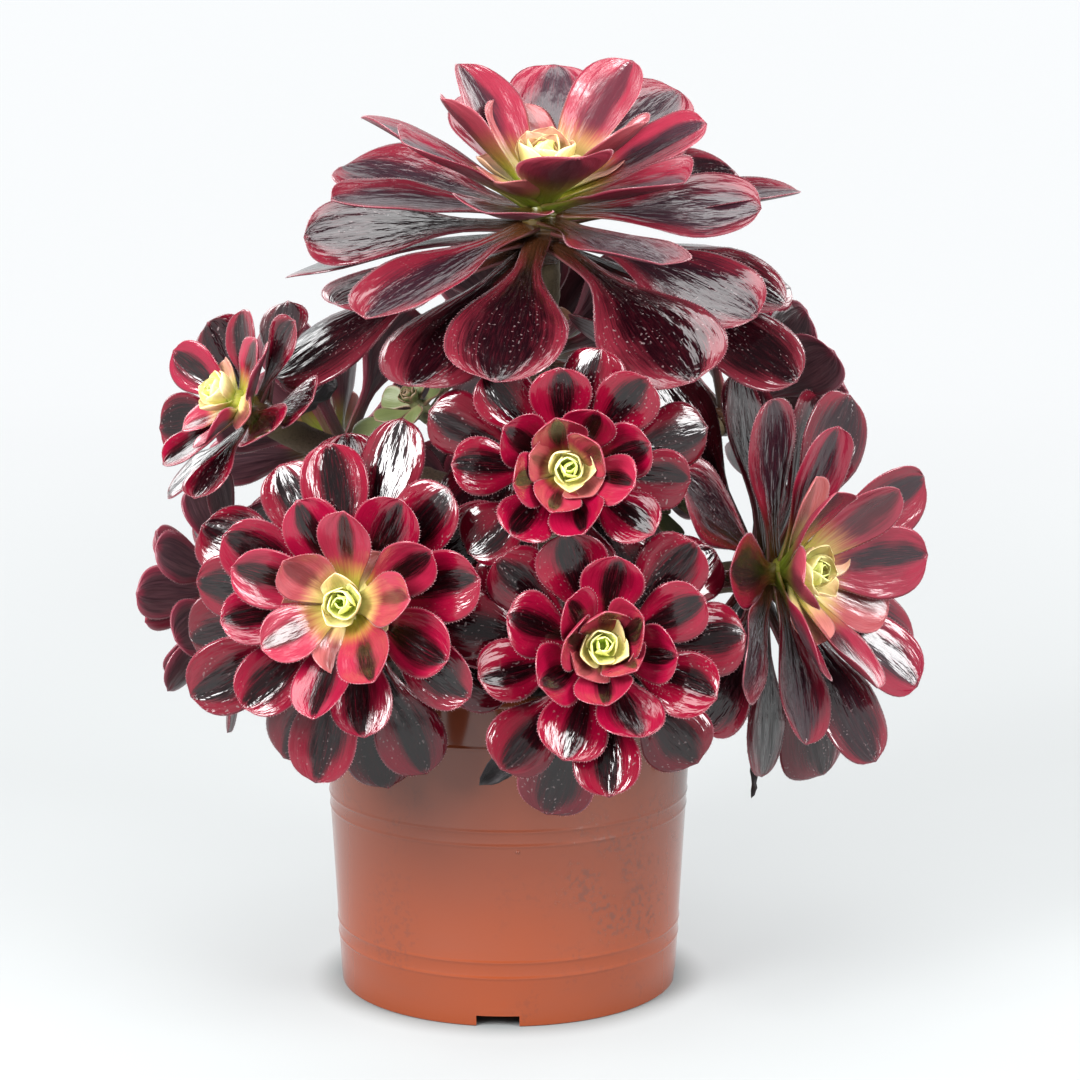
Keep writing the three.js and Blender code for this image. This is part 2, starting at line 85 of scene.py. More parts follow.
# Rosettes: bud is the tip of the heart, turn and rise aim the axis, length and width are the largest leaf's.
# growth, leans and bends run from the youngest leaf to the oldest. core and radius are those of the leafy
# stem inside, and fork is where the branch leaves the trunk. tone runs from 0, vivid crimson, to 1, dull.
ROSETTES = (
    dict(name="rosette_top", bud=(16, -22, 371), turn=4, rise=71, leaves=41, length=133, width=50,
         growth=(0.2, 0.54), core=42, radius=11, leans=(29, 98, 0.51), bends=(-16, 29), phase=295, seed=225,
         tone=0.75),
    dict(name="rosette_front_left", bud=(-66, -125, 199), turn=-10, rise=12, leaves=38, length=82, width=31,
         growth=(0.24, 0.62), core=32, radius=8.5, leans=(19, 91, 0.45), bends=(-14, 31), phase=125, seed=520,
         fork=158, tone=0.15),
    dict(name="rosette_front_low", bud=(40, -140, 184), turn=5, rise=16, leaves=30, length=70, width=30,
         growth=(0.18, 0.84), core=30, radius=8.5, leans=(12, 87, 0.65), bends=(-24, 29), phase=166, seed=581,
         fork=150, tone=0.05),
    dict(name="rosette_front_middle", bud=(26, -125, 255), turn=3, rise=11, leaves=27, length=60, width=28,
         growth=(0.24, 0.8), core=28, radius=8, leans=(14, 83, 0.62), bends=(-21, 24), phase=232, seed=404,
         fork=205, tone=0),
    dict(name="rosette_right", bud=(131, -50, 198), turn=48, rise=10, leaves=33, length=99, width=39,
         growth=(0.23, 0.42), core=34, radius=9, leans=(18, 88, 0.52), bends=(-14, 27), phase=76, seed=939,
         fork=165, tone=0.6),
    dict(name="rosette_left_upper", bud=(-124, -40, 275), turn=-52, rise=30, leaves=17, length=56, width=28,
         growth=(0.28, 0.55), core=28, radius=8, leans=(26, 84, 0.51), bends=(-14, 14), phase=316, seed=819,
         fork=215, tone=0.4),
    dict(name="rosette_left_low", bud=(-140, 20, 176), turn=-105, rise=-4, leaves=24, length=68, width=26,
         growth=(0.25, 0.7), core=28, radius=8, leans=(16, 79, 0.6), bends=(-16, 22), phase=15, seed=71,
         fork=162, tone=0.5),
    dict(name="rosette_right_back", bud=(118, 60, 262), turn=122, rise=26, leaves=23, length=84, width=34,
         growth=(0.25, 0.7), core=28, radius=8, leans=(16, 89, 0.6), bends=(-16, 22), phase=250, seed=83,
         fork=210, tone=0.45),
    dict(name="rosette_back_low", bud=(8, 136, 186), turn=176, rise=12, leaves=22, length=84, width=32,
         growth=(0.25, 0.7), core=30, radius=8, leans=(16, 89, 0.6), bends=(-16, 24), phase=40, seed=97,
         fork=152, tone=0.4),
    dict(name="rosette_back_left", bud=(-92, 92, 240), turn=-138, rise=18, leaves=22, length=82, width=32,
         growth=(0.25, 0.7), core=28, radius=8, leans=(16, 89, 0.6), bends=(-16, 24), phase=170, seed=103,
         fork=205, tone=0.4),
    dict(name="rosette_back_upper", bud=(14, 108, 286), turn=176, rise=30, leaves=21, length=76, width=32,
         growth=(0.25, 0.7), core=28, radius=8, leans=(16, 85, 0.6), bends=(-16, 22), phase=290, seed=113,
         fork=235, tone=0.3),
)
SHOOTS = (
    dict(name="shoot_left", bud=(-42, -52, 276), turn=-40, rise=40, leaves=9, length=32, width=13,
         growth=(0.4, 0.8), core=18, radius=4, leans=(16, 72, 0.6), bends=(-14, 8), phase=0, seed=131,
         fork=222, tone=0.5),
    dict(name="shoot_right", bud=(72, -50, 236), turn=40, rise=26, leaves=9, length=32, width=13,
         growth=(0.4, 0.8), core=18, radius=4, leans=(16, 72, 0.6), bends=(-14, 8), phase=90, seed=139,
         fork=205, tone=0.5),
)
WITHERED = (
    dict(on="rosette_front_low", azimuth=222, lean=97, length=72, width=15, bend=12, behind=6),
    dict(on="rosette_right", azimuth=184, lean=86, length=98, width=14, bend=10, behind=6),
    dict(on="rosette_left_upper", azimuth=62, lean=92, length=46, width=12, bend=-20, behind=5),
)

HEART_LEAVES = 11
BUD_LEAVES = 4  # the youngest leaves, which the solids leave out

# Camera, at the photograph's viewing angle.
CAMERA_PLACE = (14.5, -1335, 440)
CAMERA_DOWN = math.radians(10.05)
CAMERA_LENS = 100  # on a sensor 36 mm wide

# Soft lights that all aim at one point of the plant: name, place, width and height, and power in watts.
LIGHT_AIM = (0, 0, 230)
SOFTBOXES = (
    ("softbox_left", (-850, -1000, 950), (620, 760), 50),
    ("softbox_right", (1000, -850, 850), (560, 760), 31),
    ("softbox_front", (0, -700, 1500), (900, 500), 12),
    ("softbox_top", (0, 250, 1500), (1000, 700), 12),
    ("back_left", (-1000, 1200, 900), (600, 800), 8),
    ("back_right", (1000, 1200, 900), (600, 800), 8),
)
AIR_COLOUR, AIR_STRENGTH = (0.93, 0.96, 1.0, 1), 0.08


def mix(a, b, share):
    return a + (b - a) * share


def smooth_step(low, high, x):
    x = np.clip((x - low) / (high - low), 0, 1)
    return x * x * (3 - 2 * x)


def scatter(n):
    """A repeatable number from -1 to 1."""
    x = math.sin(n * 12.9898 + 4.1414) * 43758.5453
    return 2 * (x - math.floor(x)) - 1


# ---------------------------------------------------------------- meshes from arrays

NUMBERS = ("along", "across", "age", "draw", "under", "rim", "tone")  # kept on every point of a leaf


class Surface:
    """Collects points, faces, their places on the bake's map and the numbers that the shaders read."""

    def __init__(self):
        self.points, self.faces, self.uvs, self.slots = [], [], [], []
        self.numbers = {name: [] for name in (*NUMBERS, "grain")}
        self.count = 0

    def add(self, points, faces, uvs, slot=0, **numbers):
        """Adds points (n, 3) in mm, with a list of face arrays (m, sides) and uv arrays (m, sides, 2)."""
        points = np.asarray(points, float).reshape(-1, 3)
        self.points.append(points)
        for face, uv in zip(faces, uvs):
            self.faces.append(np.asarray(face) + self.count)
            self.uvs.append(np.asarray(uv, float))
            self.slots.append(np.full(len(face), slot))
        for name in NUMBERS:
            self.numbers[name].append(np.broadcast_to(numbers.get(name, 0.0), len(points)))
        grain = numbers.get("grain", points)
        self.numbers["grain"].append(np.broadcast_to(grain, (len(points), 3)))
        self.count += len(points)

    def build(self, name, materials):
        mesh = bpy.data.meshes.new(name)
        corners = np.concatenate([face.ravel() for face in self.faces]).astype(np.int32)
        sides = np.concatenate([np.full(len(face), face.shape[1]) for face in self.faces])
        starts = np.concatenate([[0], np.cumsum(sides)[:-1]]).astype(np.int32)
        mesh.vertices.add(self.count)
        mesh.vertices.foreach_set("co", (np.concatenate(self.points) * MM).astype(np.float32).ravel())
        mesh.loops.add(len(corners))
        mesh.loops.foreach_set("vertex_index", corners)
        mesh.polygons.add(len(sides))
        mesh.polygons.foreach_set("loop_start", starts)
        mesh.polygons.foreach_set("material_index", np.concatenate(self.slots).astype(np.int32))
        mesh.update(calc_edges=True)
        mesh.shade_smooth()
        layer = mesh.uv_layers.new(name="OFBake")
        layer.data.foreach_set("uv", np.concatenate([uv.ravel() for uv in self.uvs]).astype(np.float32))
        for key in NUMBERS:
            values = mesh.attributes.new(key, "FLOAT", "POINT")
            values.data.foreach_set("value", np.concatenate(self.numbers[key]).astype(np.float32))
        grain = mesh.attributes.new("grain", "FLOAT_VECTOR", "POINT")
        grain.data.foreach_set("vector", np.concatenate(self.numbers["grain"]).astype(np.float32).ravel())
        for material in materials:
            mesh.materials.append(material)
        piece = bpy.data.objects.new(name, mesh)
        bpy.context.scene.collection.objects.link(piece)
        return piece


def ring_faces(rings, sides):
    """Quads of a tube of rings, and where their corners are as (ring, side) steps."""
    ring, side = np.meshgrid(np.arange(rings - 1), np.arange(sides), indexing="ij")
    ring, side = ring.ravel(), side.ravel()
    steps = np.stack([
        np.stack([ring, side], 1), np.stack([ring, side + 1], 1),
        np.stack([ring + 1, side + 1], 1), np.stack([ring + 1, side], 1),
    ], 1)
    faces = steps[..., 0] * sides + steps[..., 1] % sides
    return faces, steps


def fan(ring_start, sides, tip, forward=True):
    """Triangles from a ring to one point."""
    side = np.arange(sides)
    near, far = ring_start + side, ring_start + (side + 1) % sides
    triangle = (near, far, np.full(sides, tip)) if forward else (far, near, np.full(sides, tip))
    return np.stack(triangle, 1)


def closed_faces(rings, sides):
    """Faces of a tube of rings, with a fan at each end to one of the two points that follow the rings."""
    quads, steps = ring_faces(rings, sides)
    foot = rings * sides
    return [quads, fan(0, sides, foot, forward=False), fan(foot - sides, sides, foot + 1)], steps


def cell_uv(cell, grid, u, v):
    """Places inside one cell of a square grid of cells, with a margin round each."""
    column, row = cell % grid, cell // grid
    inset = 0.04
    return np.stack([
        (column + inset + (1 - 2 * inset) * u) / grid,
        (row + inset + (1 - 2 * inset) * v) / grid,
    ], -1)


FOOT_STRIP = 0.004  # share of a cell that the fan at a tube's foot takes


def closed_tube(places, sides, cell, grid):
    """Faces and uvs of a tube closed at both ends. places holds each ring's place along its cell."""
    faces, steps = closed_faces(len(places), sides)
    side = np.arange(sides)
    foot = np.stack([side + 1, side, side + 0.5], 1) / sides
    tip = np.stack([side, side + 1, side + 0.5], 1) / sides
    last = places[-1]
    return faces, [
        cell_uv(cell, grid, steps[..., 1] / sides, places[steps[..., 0]]),
        cell_uv(cell, grid, foot, np.tile([0, 0, FOOT_STRIP], (sides, 1))),
        cell_uv(cell, grid, tip, np.tile([last, last, 1], (sides, 1))),
    ]


# ---------------------------------------------------------------- the rule for one leaf

def frame_of(rosette):
    """The rosette's own directions: axis, up (the way nearest the sky) and side, and the foot of its core."""
    turn, rise = math.radians(rosette["turn"]), math.radians(rosette["rise"])
    axis = np.array([
        math.sin(turn) * math.cos(rise), -math.cos(turn) * math.cos(rise), math.sin(rise),
    ])
    side = np.cross((0, 0, 1), axis)
    side /= np.linalg.norm(side)
    return SimpleNamespace(
        axis=axis, side=side, up=np.cross(axis, side),
        base=np.array(rosette["bud"], float) - axis * rosette["core"],
    )


def leaf_of(rosette, i):
    """Leaf number i of a rosette, counted from the heart outwards."""
    age = (i + 0.5) / rosette["leaves"]

    def vary(k):
        return scatter(rosette["seed"] + i * 7.31 + k * 1.77)

    young_lean, old_lean, lean_pace = rosette["leans"]
    young_share, length_pace = rosette["growth"]
    lean = mix(young_lean, old_lean, age**lean_pace) + 8 * vary(4)
    bend = mix(*rosette["bends"], age) + 5 * vary(5)
    return SimpleNamespace(
        age=age,
        azimuth=math.radians(rosette["phase"]) + i * GOLDEN + 0.16 * vary(1),
        length=rosette["length"] * mix(young_share, 1, age**length_pace) * (1 + 0.09 * vary(2)),
        width=rosette["width"] * mix(0.4, 1.06, age**0.33) * (1 + 0.07 * vary(3)),
        root_height=mix(0.86, 0.1, age**0.9) * rosette["core"],
        root_out=rosette["radius"] * 0.35,
        lean=math.radians(lean),
        bend=math.radians(bend),
        cup=mix(0.4, -0.12, age) + 0.12 * vary(6),
        twist=0.4 * vary(7),
        stalk=mix(0.5, 0.17, age**0.5),
        stalk_end=mix(0, 0.4, age),
        widest=mix(0.66, 0.8, age),
        thickness=mix(1.6, 2.4, age),
        draw=0.5 + 0.5 * vary(8),
        tone=rosette["tone"],
    )


def bud_leaf(rosette, i):
    """Leaf i of the few that stand round the heart: smaller and lower than the rule alone would have it."""
    leaf = leaf_of(rosette, i)
    grown = i / BUD_LEAVES
    leaf.length *= mix(0.8, 0.96, grown)
    leaf.root_height *= mix(0.86, 0.96, grown)
    leaf.lean += math.radians(mix(42, 14, grown))
    leaf.bend *= mix(0.3, 0.9, grown)
    return leaf


def heart_leaf(rosette, k):
    """Leaf k of the closed heart, counted inwards from the youngest open leaf."""
    inwards = k / HEART_LEAVES
    leaf = leaf_of(rosette, 0)
    leaf.age = -0.2 * inwards
    leaf.azimuth = math.radians(rosette["phase"]) - k * GOLDEN
    leaf.length = rosette["width"] * mix(0.52, 0.3, inwards)
    leaf.width = rosette["width"] * mix(0.52, 0.26, inwards)
    leaf.root_height = rosette["core"] * mix(0.8, 0.96, inwards)
    leaf.root_out = rosette["radius"] * mix(0.42, 0.1, inwards)
    leaf.lean = math.radians(mix(54, 16, inwards) + 7 * scatter(rosette["seed"] + 3.3 * k))
    leaf.bend = math.radians(mix(-34, -28, inwards))
    leaf.cup = 0.55
    leaf.twist = 0.15
    leaf.stalk, leaf.stalk_end, leaf.widest, leaf.thickness = 0.8, 0, 0.56, 1.1
    leaf.draw = 0.5 + 0.5 * scatter(rosette["seed"] + 5.1 * k)
    return leaf


def half_width(leaf, s):
    """Half the leaf's width at the share s of its length: a narrow stalk, then a blade with a round end."""
    s = np.asarray(s, float)
    x = np.clip((s - leaf.stalk_end) / (leaf.widest - leaf.stalk_end), 0, 1)
    blade = mix(leaf.stalk, 1, x * x * (3 - 2 * x))
    y = np.clip((s - leaf.widest) / (1 - leaf.widest), 0, 1)
    return leaf.width / 2 * np.where(s < leaf.widest, blade, (1 - y**2.4) ** 0.45)


def leaf_points(frame, leaf, s, t, lift):
    """Points of the leaf: s runs along it, t across it from -1 to 1, and lift along its upward normal."""
    s, t, lift = np.broadcast_arrays(np.asarray(s, float), t, lift)
    out = frame.up * math.cos(leaf.azimuth) + frame.side * math.sin(leaf.azimuth)
    bend = leaf.bend if abs(leaf.bend) > 1e-3 else 1e-3
    angle = (leaf.lean + bend * s)[..., None]
    reach = leaf.length * (math.cos(leaf.lean) - np.cos(angle)) / bend
    climb = leaf.length * (np.sin(angle) - math.sin(leaf.lean)) / bend
    across = np.cross(out, frame.axis)
    normal = frame.axis * np.sin(angle) - out * np.cos(angle)
    roll = (leaf.twist * s)[..., None]
    sideways = across * np.cos(roll) + normal * np.sin(roll)
    upwards = normal * np.cos(roll) - across * np.sin(roll)
    half = half_width(leaf, s)
    return (
        frame.base
        + frame.axis * (leaf.root_height + climb)
        + out * (leaf.root_out + reach)
        + sideways * (half * t)[..., None]
        + upwards * (leaf.cup * half * t * t + lift)[..., None]
    )


# ---------------------------------------------------------------- where each solid leaf went

YOUNG_AGE = 0.65
OLD_STATIONS = (0.4, 0.68, 0.91)
YOUNG_STATIONS = (0.6, 0.9)
MATCH = 0.05  # mm from a point of the rule to a corner of the solid
MOVES = [
    (scale, math.radians(lean), math.radians(turn))
    for scale in (1, 0.86, 0.72)
    for lean in (0, -6, 6, -12, 12, -19, 19, -27, -36)
    for turn in (0, 9, -9)
]


def moved(leaf, move):
    """The leaf as the solids have it where it made way for a neighbour: shorter, leaning or turned."""
    scale, lean, turn = move
    changed = SimpleNamespace(**vars(leaf))
    changed.length = leaf.length * scale
    changed.lean = leaf.lean + lean
    changed.azimuth = leaf.azimuth + turn
    return changed


def corners_tree(node):
    """A search tree of the corners of a CAD node, in mm."""
    corners = np.array([v.co for v in frame["nodes"][node].data.vertices]) / MM
    tree = kdtree.KDTree(len(corners))
    for index, corner in enumerate(corners):
        tree.insert(corner, index)
    tree.balance()
    return tree


def placed_leaf(tree, place, leaf):
    """The leaf moved as its solid was, found by the corners that the two have in common, or None."""
    stations = np.array(YOUNG_STATIONS if leaf.age < YOUNG_AGE else OLD_STATIONS)
    s = np.concatenate([[1], stations, stations])
    t = np.concatenate([[0], np.ones(len(stations)), -np.ones(len(stations))])
    best, best_hits = None, 1
    for move in MOVES:
        tried = moved(leaf, move)
        outline = leaf_points(place, tried, s, t, 0)
        hits = sum(tree.find(corner)[2] < MATCH for corner in outline)
        if hits > best_hits:
            best, best_hits = tried, hits
        if hits >= len(s) - 1:
            break
    return best


# ---------------------------------------------------------------- fine leaves

AROUND = 16  # points round a leaf's section
BLADE_RINGS = 11
END_RINGS = 9
TIP_POINT = 0.9  # mm that the small hard tip stands out


def section_lift(leaf, s, t, rise):
    """Height of the skin over the mid surface. rise is 1 on top, -1 underneath and 0 on the margins."""
    end = np.clip((s - leaf.widest) / (1 - leaf.widest), 0, 1)
    half = leaf.thickness * mix(0.6, 0.42, s) * np.sqrt(1 - 0.75 * end**3)
    half = half + 1.3 * np.exp(-((s / 0.12) ** 2)) * (leaf.width / 46)
    skin = half * np.sign(rise) * np.abs(rise) ** 0.7
    keel = -0.5 * half * np.clip(-rise, 0, 1) * (1 - np.abs(t)) * (1 - s)
    groove = -0.3 * half * np.clip(rise, 0, 1) * np.exp(-((t / 0.2) ** 2)) * smooth_step(0.25, 0.6, s)
    return skin + keel + groove


def leaf_swell(leaf, s, t, seed):
    """Soft waves of the whole blade, the same on both faces: wavy margins and a slightly dished end."""
    waves = 0.5 * np.sin(9 * s + 5 * leaf.draw + 2.2 * t) + 0.5 * np.sin(15 * s - 3 * seed + 1.1 * t)
    size = leaf.width * 0.022 * smooth_step(0.25, 0.7, s)
    end = smooth_step(leaf.widest, 1.0, s)
    return size * waves * (0.25 + 0.75 * t * t) + leaf.width * 0.05 * end * (leaf.draw - 0.3)


def leaf_stations(leaf):
    """Places of the rings along a leaf, closer together round its end."""
    blade = np.linspace(0, 1, BLADE_RINGS, endpoint=False) ** 0.9 * leaf.widest
    quarter = np.linspace(0, math.pi / 2, END_RINGS + 1)[:-1]
    return np.concatenate([blade, leaf.widest + (1 - leaf.widest) * np.sin(quarter)])


def rim_distance(leaf, s, t):
    """Rough distance in mm from a point of the blade to its margin."""
    sideways = half_width(leaf, s) * (1 - np.abs(t))
    return np.minimum(sideways, leaf.length * (1 - s) + 0.35 * leaf.width * t * t)


def add_leaf(surface, place, leaf, cell, grid):
    """One leaf: rings of skin from the root, which is closed inside the core, to the small hard tip."""
    stations = leaf_stations(leaf)
    phi = 2 * math.pi * np.arange(AROUND) / AROUND
    s, t = np.meshgrid(stations, np.cos(phi), indexing="ij")
    rise = np.broadcast_to(np.sin(phi), s.shape)
    rise = np.where(np.abs(rise) < 1e-6, 0, rise)
    seed = leaf.draw * 7 + leaf.azimuth
    lift = section_lift(leaf, s, t, rise) + leaf_swell(leaf, s, t, seed)
    skin = leaf_points(place, leaf, s, t, lift).reshape(-1, 3)

    ends = leaf_points(place, leaf, [0.0, 1.0], 0, leaf_swell(leaf, np.array([0.0, 1.0]), 0.0, seed))
    before_tip = leaf_points(place, leaf, 0.97, 0, 0)
    forward = ends[1] - before_tip
    ends[1] += forward / np.linalg.norm(forward) * TIP_POINT * min(1, leaf.width / 25)

    faces, uvs = closed_tube(stations, AROUND, cell, grid)
    under = 0.5 - 0.5 * np.clip(rise * 3, -1, 1)
    flat_s, flat_t = np.append(s.ravel(), [0, 1]), np.append(t.ravel(), [0, 0])
    grain = np.stack([
        flat_s * leaf.length, flat_t * leaf.width / 2, np.full(len(flat_s), 61 * leaf.draw + 9 * leaf.age),
    ], 1)
    surface.add(
        np.concatenate([skin, ends]), faces, uvs,
        along=flat_s, across=flat_t, age=leaf.age, draw=leaf.draw,
        under=np.append(under.ravel(), [0.5, 0.5]),
        rim=np.append(rim_distance(leaf, s, t).ravel(), [leaf.width / 8, 0]),
        tone=leaf.tone, grain=grain,
    )
    return seed


HAIR_STEP = 1.5  # mm between hairs along a margin
HAIR_LENGTH = 0.6
HAIR_RADIUS = 0.15
HAIRS_FROM = 0.3  # share of the leaf's length where the fringe begins
MARGIN_STEPS = 90


def add_hairs(surface, place, leaf, seed, cell, grid, rng):
    """The fringe of short stiff hairs along a leaf's margin: thin three-sided spikes rooted in the skin."""
    s = mix(HAIRS_FROM, 1, np.sin(np.linspace(0, math.pi / 2, MARGIN_STEPS)))
    s = np.concatenate([s, s[-2::-1]])
    t = np.concatenate([np.ones(MARGIN_STEPS), -np.ones(MARGIN_STEPS - 1)])
    swell = leaf_swell(leaf, s, t, seed)
    margin = leaf_points(place, leaf, s, t, swell)
    normal = leaf_points(place, leaf, s, t, swell + 1) - margin
    run = np.linalg.norm(np.diff(margin, axis=0), axis=1)
    travelled = np.concatenate([[0], np.cumsum(run)])
    count = int(travelled[-1] / HAIR_STEP)
    if count < 6:
        return
    stops = (np.arange(count) + 0.5 + rng.uniform(-0.3, 0.3, count)) * travelled[-1] / count

    def at(values, ahead=0.0):
        return np.stack([np.interp(stops + ahead, travelled, values[:, k]) for k in range(3)], 1)

    foot, up = at(margin), at(normal)
    along = at(margin, 0.4) - at(margin, -0.4)
    along /= np.linalg.norm(along, axis=1)[:, None]
    up /= np.linalg.norm(up, axis=1)[:, None]
    out = np.cross(along, up)
    out /= np.linalg.norm(out, axis=1)[:, None]
    centre = leaf_points(place, leaf, leaf.widest, 0, 0)
    if np.mean(np.einsum("ij,ij->i", out, foot - centre)) < 0:
        out = -out
    towards_tip = np.where(stops < travelled[-1] / 2, 1, -1)[:, None] * along
    aim = out + 0.4 * towards_tip + up * rng.uniform(-0.35, 0.35, count)[:, None]
    aim /= np.linalg.norm(aim, axis=1)[:, None]
    length = HAIR_LENGTH * rng.uniform(0.7, 1.25, count)[:, None] * min(1, 0.5 + leaf.width / 60)
    root = foot - 0.25 * aim
    corners = np.stack([
        root + HAIR_RADIUS * along, root - 0.5 * HAIR_RADIUS * along + 0.87 * HAIR_RADIUS * up,
        root - 0.5 * HAIR_RADIUS * along - 0.87 * HAIR_RADIUS * up, foot + aim * length,
    ], 1)
    start = 4 * np.arange(count)[:, None]
    faces = np.concatenate([start + k for k in ([0, 1, 3], [1, 2, 3], [2, 0, 3], [0, 2, 1])])
    spot = np.linspace(0, 1, len(faces))[:, None] * 0.9
    uv = cell_uv(cell, grid, spot + np.array([[0, 0.02, 0.01]]), np.tile([0.2, 0.2, 0.8], (len(faces), 1)))
    surface.add(
        corners.reshape(-1, 3), [faces], [uv], slot=1,
        along=1.0, age=leaf.age, draw=np.repeat(rng.uniform(0, 1, count), 4), rim=0.0, tone=leaf.tone,
    )


CORE_AROUND = 24
CORE_PROFILE = ((0, 0.78), (0.04, 0.88), (0.3, 0.98), (0.6, 0.82), (0.85, 0.6), (0.97, 0.45), (1, 0.2))


def add_core(surface, rosette, place, cell, grid):
    """The short leafy stem inside a rosette, with the ridges of the leaf bases round it."""
    heights, radii = np.array(CORE_PROFILE).T
    turn = 2 * math.pi * np.arange(CORE_AROUND) / CORE_AROUND
    h, a = np.meshgrid(heights, turn, indexing="ij")
    ridge = 1 + 0.05 * np.cos(8 * a + 26 * h)
    r = radii[:, None] * rosette["radius"] * ridge
    points = (
        place.base + place.axis * (h * rosette["core"])[..., None]
        + place.side * (r * np.cos(a))[..., None] + place.up * (r * np.sin(a))[..., None]
    ).reshape(-1, 3)
    tip = place.base + place.axis * (rosette["core"] + 0.5)
    faces, uvs = closed_tube(np.arange(len(heights)) / len(heights), CORE_AROUND, cell, grid)
    surface.add(
        np.concatenate([points, [place.base, tip]]), faces, uvs,
        along=0.05, age=np.append(1 - h.ravel(), [1, 0]) * 0.9, draw=0.5, under=0.5, rim=20.0,
        tone=rosette["tone"],
    )


def make_rosette(rosette, materials):
    """A rosette: its core, the leaves that its solid has, the buds and the closed heart, and their hairs."""
    place = frame_of(rosette)
    tree = corners_tree(rosette["name"])
    leaves = [heart_leaf(rosette, k) for k in range(HEART_LEAVES, 0, -1)]
    leaves += [bud_leaf(rosette, i) for i in range(BUD_LEAVES)]
    for i in range(BUD_LEAVES, rosette["leaves"]):
        leaf = placed_leaf(tree, place, leaf_of(rosette, i))
        if leaf:
            leaves.append(leaf)
    grid = math.ceil(math.sqrt(len(leaves) + 2))
    rng = np.random.default_rng(rosette["seed"])
    surface = Surface()
    add_core(surface, rosette, place, len(leaves), grid)
    for cell, leaf in enumerate(leaves):
        seed = add_leaf(surface, place, leaf, cell, grid)
        if leaf.age > 0:
            add_hairs(surface, place, leaf, seed, len(leaves) + 1, grid, rng)
    piece = surface.build("leaves_" + rosette["name"], materials)
    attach(piece, "root")
    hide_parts(rosette["name"])
    return piece


# ---------------------------------------------------------------- stem

def resample(points, count):
    """count points evenly spaced along a polyline."""
    points = np.asarray(points, float)
    travelled = np.concatenate([[0], np.cumsum(np.linalg.norm(np.diff(points, axis=0), axis=1))])
    stops = np.linspace(0, travelled[-1], count)
    return np.stack([np.interp(stops, travelled, points[:, k]) for k in range(3)], 1)


def smooth_through(knots, steps=24):
    """Centripetal Catmull-Rom curve through the knots."""
    knots = [np.asarray(k, float) for k in knots]
    knots = [2 * knots[0] - knots[1], *knots, 2 * knots[-1] - knots[-2]]
    x = np.linspace(0, 1, steps, endpoint=False)[:, None]
    run = []
    for a, b, c, d in zip(knots, knots[1:], knots[2:], knots[3:]):
        before, here, after = (np.linalg.norm(q - p) ** 0.5 for p, q in ((a, b), (b, c), (c, d)))
        leave = ((b - a) / before - (c - a) / (before + here) + (c - b) / here) * here
        arrive = ((c - b) / here - (d - b) / (here + after) + (d - c) / after) * here
        run.append(
            b + leave * x + (3 * (c - b) - 2 * leave - arrive) * x**2
            + (2 * (b - c) + leave + arrive) * x**3
        )
    return np.concatenate([*run, [knots[-2]]])


def branch_end(rosette):
    place = frame_of(rosette)
    return place.base - 0.3 * place.axis


def trunk_line():
    place, end = frame_of(ROSETTES[0]), branch_end(ROSETTES[0])
    return resample(smooth_through([*TRUNK_POINTS, end - 22 * place.axis, end]), 90)


def branch_line(rosette, trunk):
    """Midline of a branch: out of the trunk, then up into the foot of the rosette."""
    place = frame_of(rosette)
    start = trunk[np.argmin(np.abs(trunk[:, 2] - rosette["fork"]))]
    end = branch_end(rosette)
    reach = np.linalg.norm(end - start)
    outwards = np.array([end[0] - start[0], end[1] - start[1], 0])
    outwards /= np.linalg.norm(outwards)
    first = start + outwards * reach * 0.3 + np.array([0, 0, reach * 0.12])
    second = end - place.axis * reach * 0.35
    x = np.linspace(0, 1, 60)[:, None]
    line = (1 - x) ** 3 * start + 3 * (1 - x) ** 2 * x * first + 3 * (1 - x) * x**2 * second + x**3 * end
    return resample(line, max(14, int(reach / 3)))


STEM_AROUND = 20


def add_tube(surface, line, radii, cell, grid, seed):
    """A stem along a line, with the low rings and lozenges that fallen leaves leave on it."""
    tangent = np.gradient(line, axis=0)
    tangent /= np.linalg.norm(tangent, axis=1)[:, None]
    normals = [np.cross(tangent[0], (0.3, 1, 0.1))]
    for here in tangent[1:]:
        turned = normals[-1] - here * np.dot(normals[-1], here)
        normals.append(turned / np.linalg.norm(turned))
    normals[0] = normals[0] / np.linalg.norm(normals[0])
    normal = np.array(normals)
    other = np.cross(tangent, normal)
    travelled = np.concatenate([[0], np.cumsum(np.linalg.norm(np.diff(line, axis=0), axis=1))])
    turn = 2 * math.pi * np.arange(STEM_AROUND) / STEM_AROUND
    d, a = np.meshgrid(travelled, turn, indexing="ij")
    scars = np.maximum(0, np.cos(5 * a + 1.1 * d + seed)) * np.maximum(0, np.cos(3 * a - 0.8 * d))
    rough = 1 + 0.09 * scars + 0.03 * np.sin(0.7 * d + 2 * a + seed) + 0.02 * np.sin(2.1 * d - a)
    r = np.asarray(radii)[:, None] * 0.95 * rough
    points = (
        line[:, None] + normal[:, None] * (r * np.cos(a))[..., None]
        + other[:, None] * (r * np.sin(a))[..., None]
    ).reshape(-1, 3)
    faces, uvs = closed_tube(np.arange(len(line)) / len(line), STEM_AROUND, cell, grid)
    surface.add(
        np.concatenate([points, [line[0], line[-1]]]), faces, uvs,
        along=np.append(d.ravel() / travelled[-1], [0, 1]), draw=(seed * 0.37) % 1,
    )


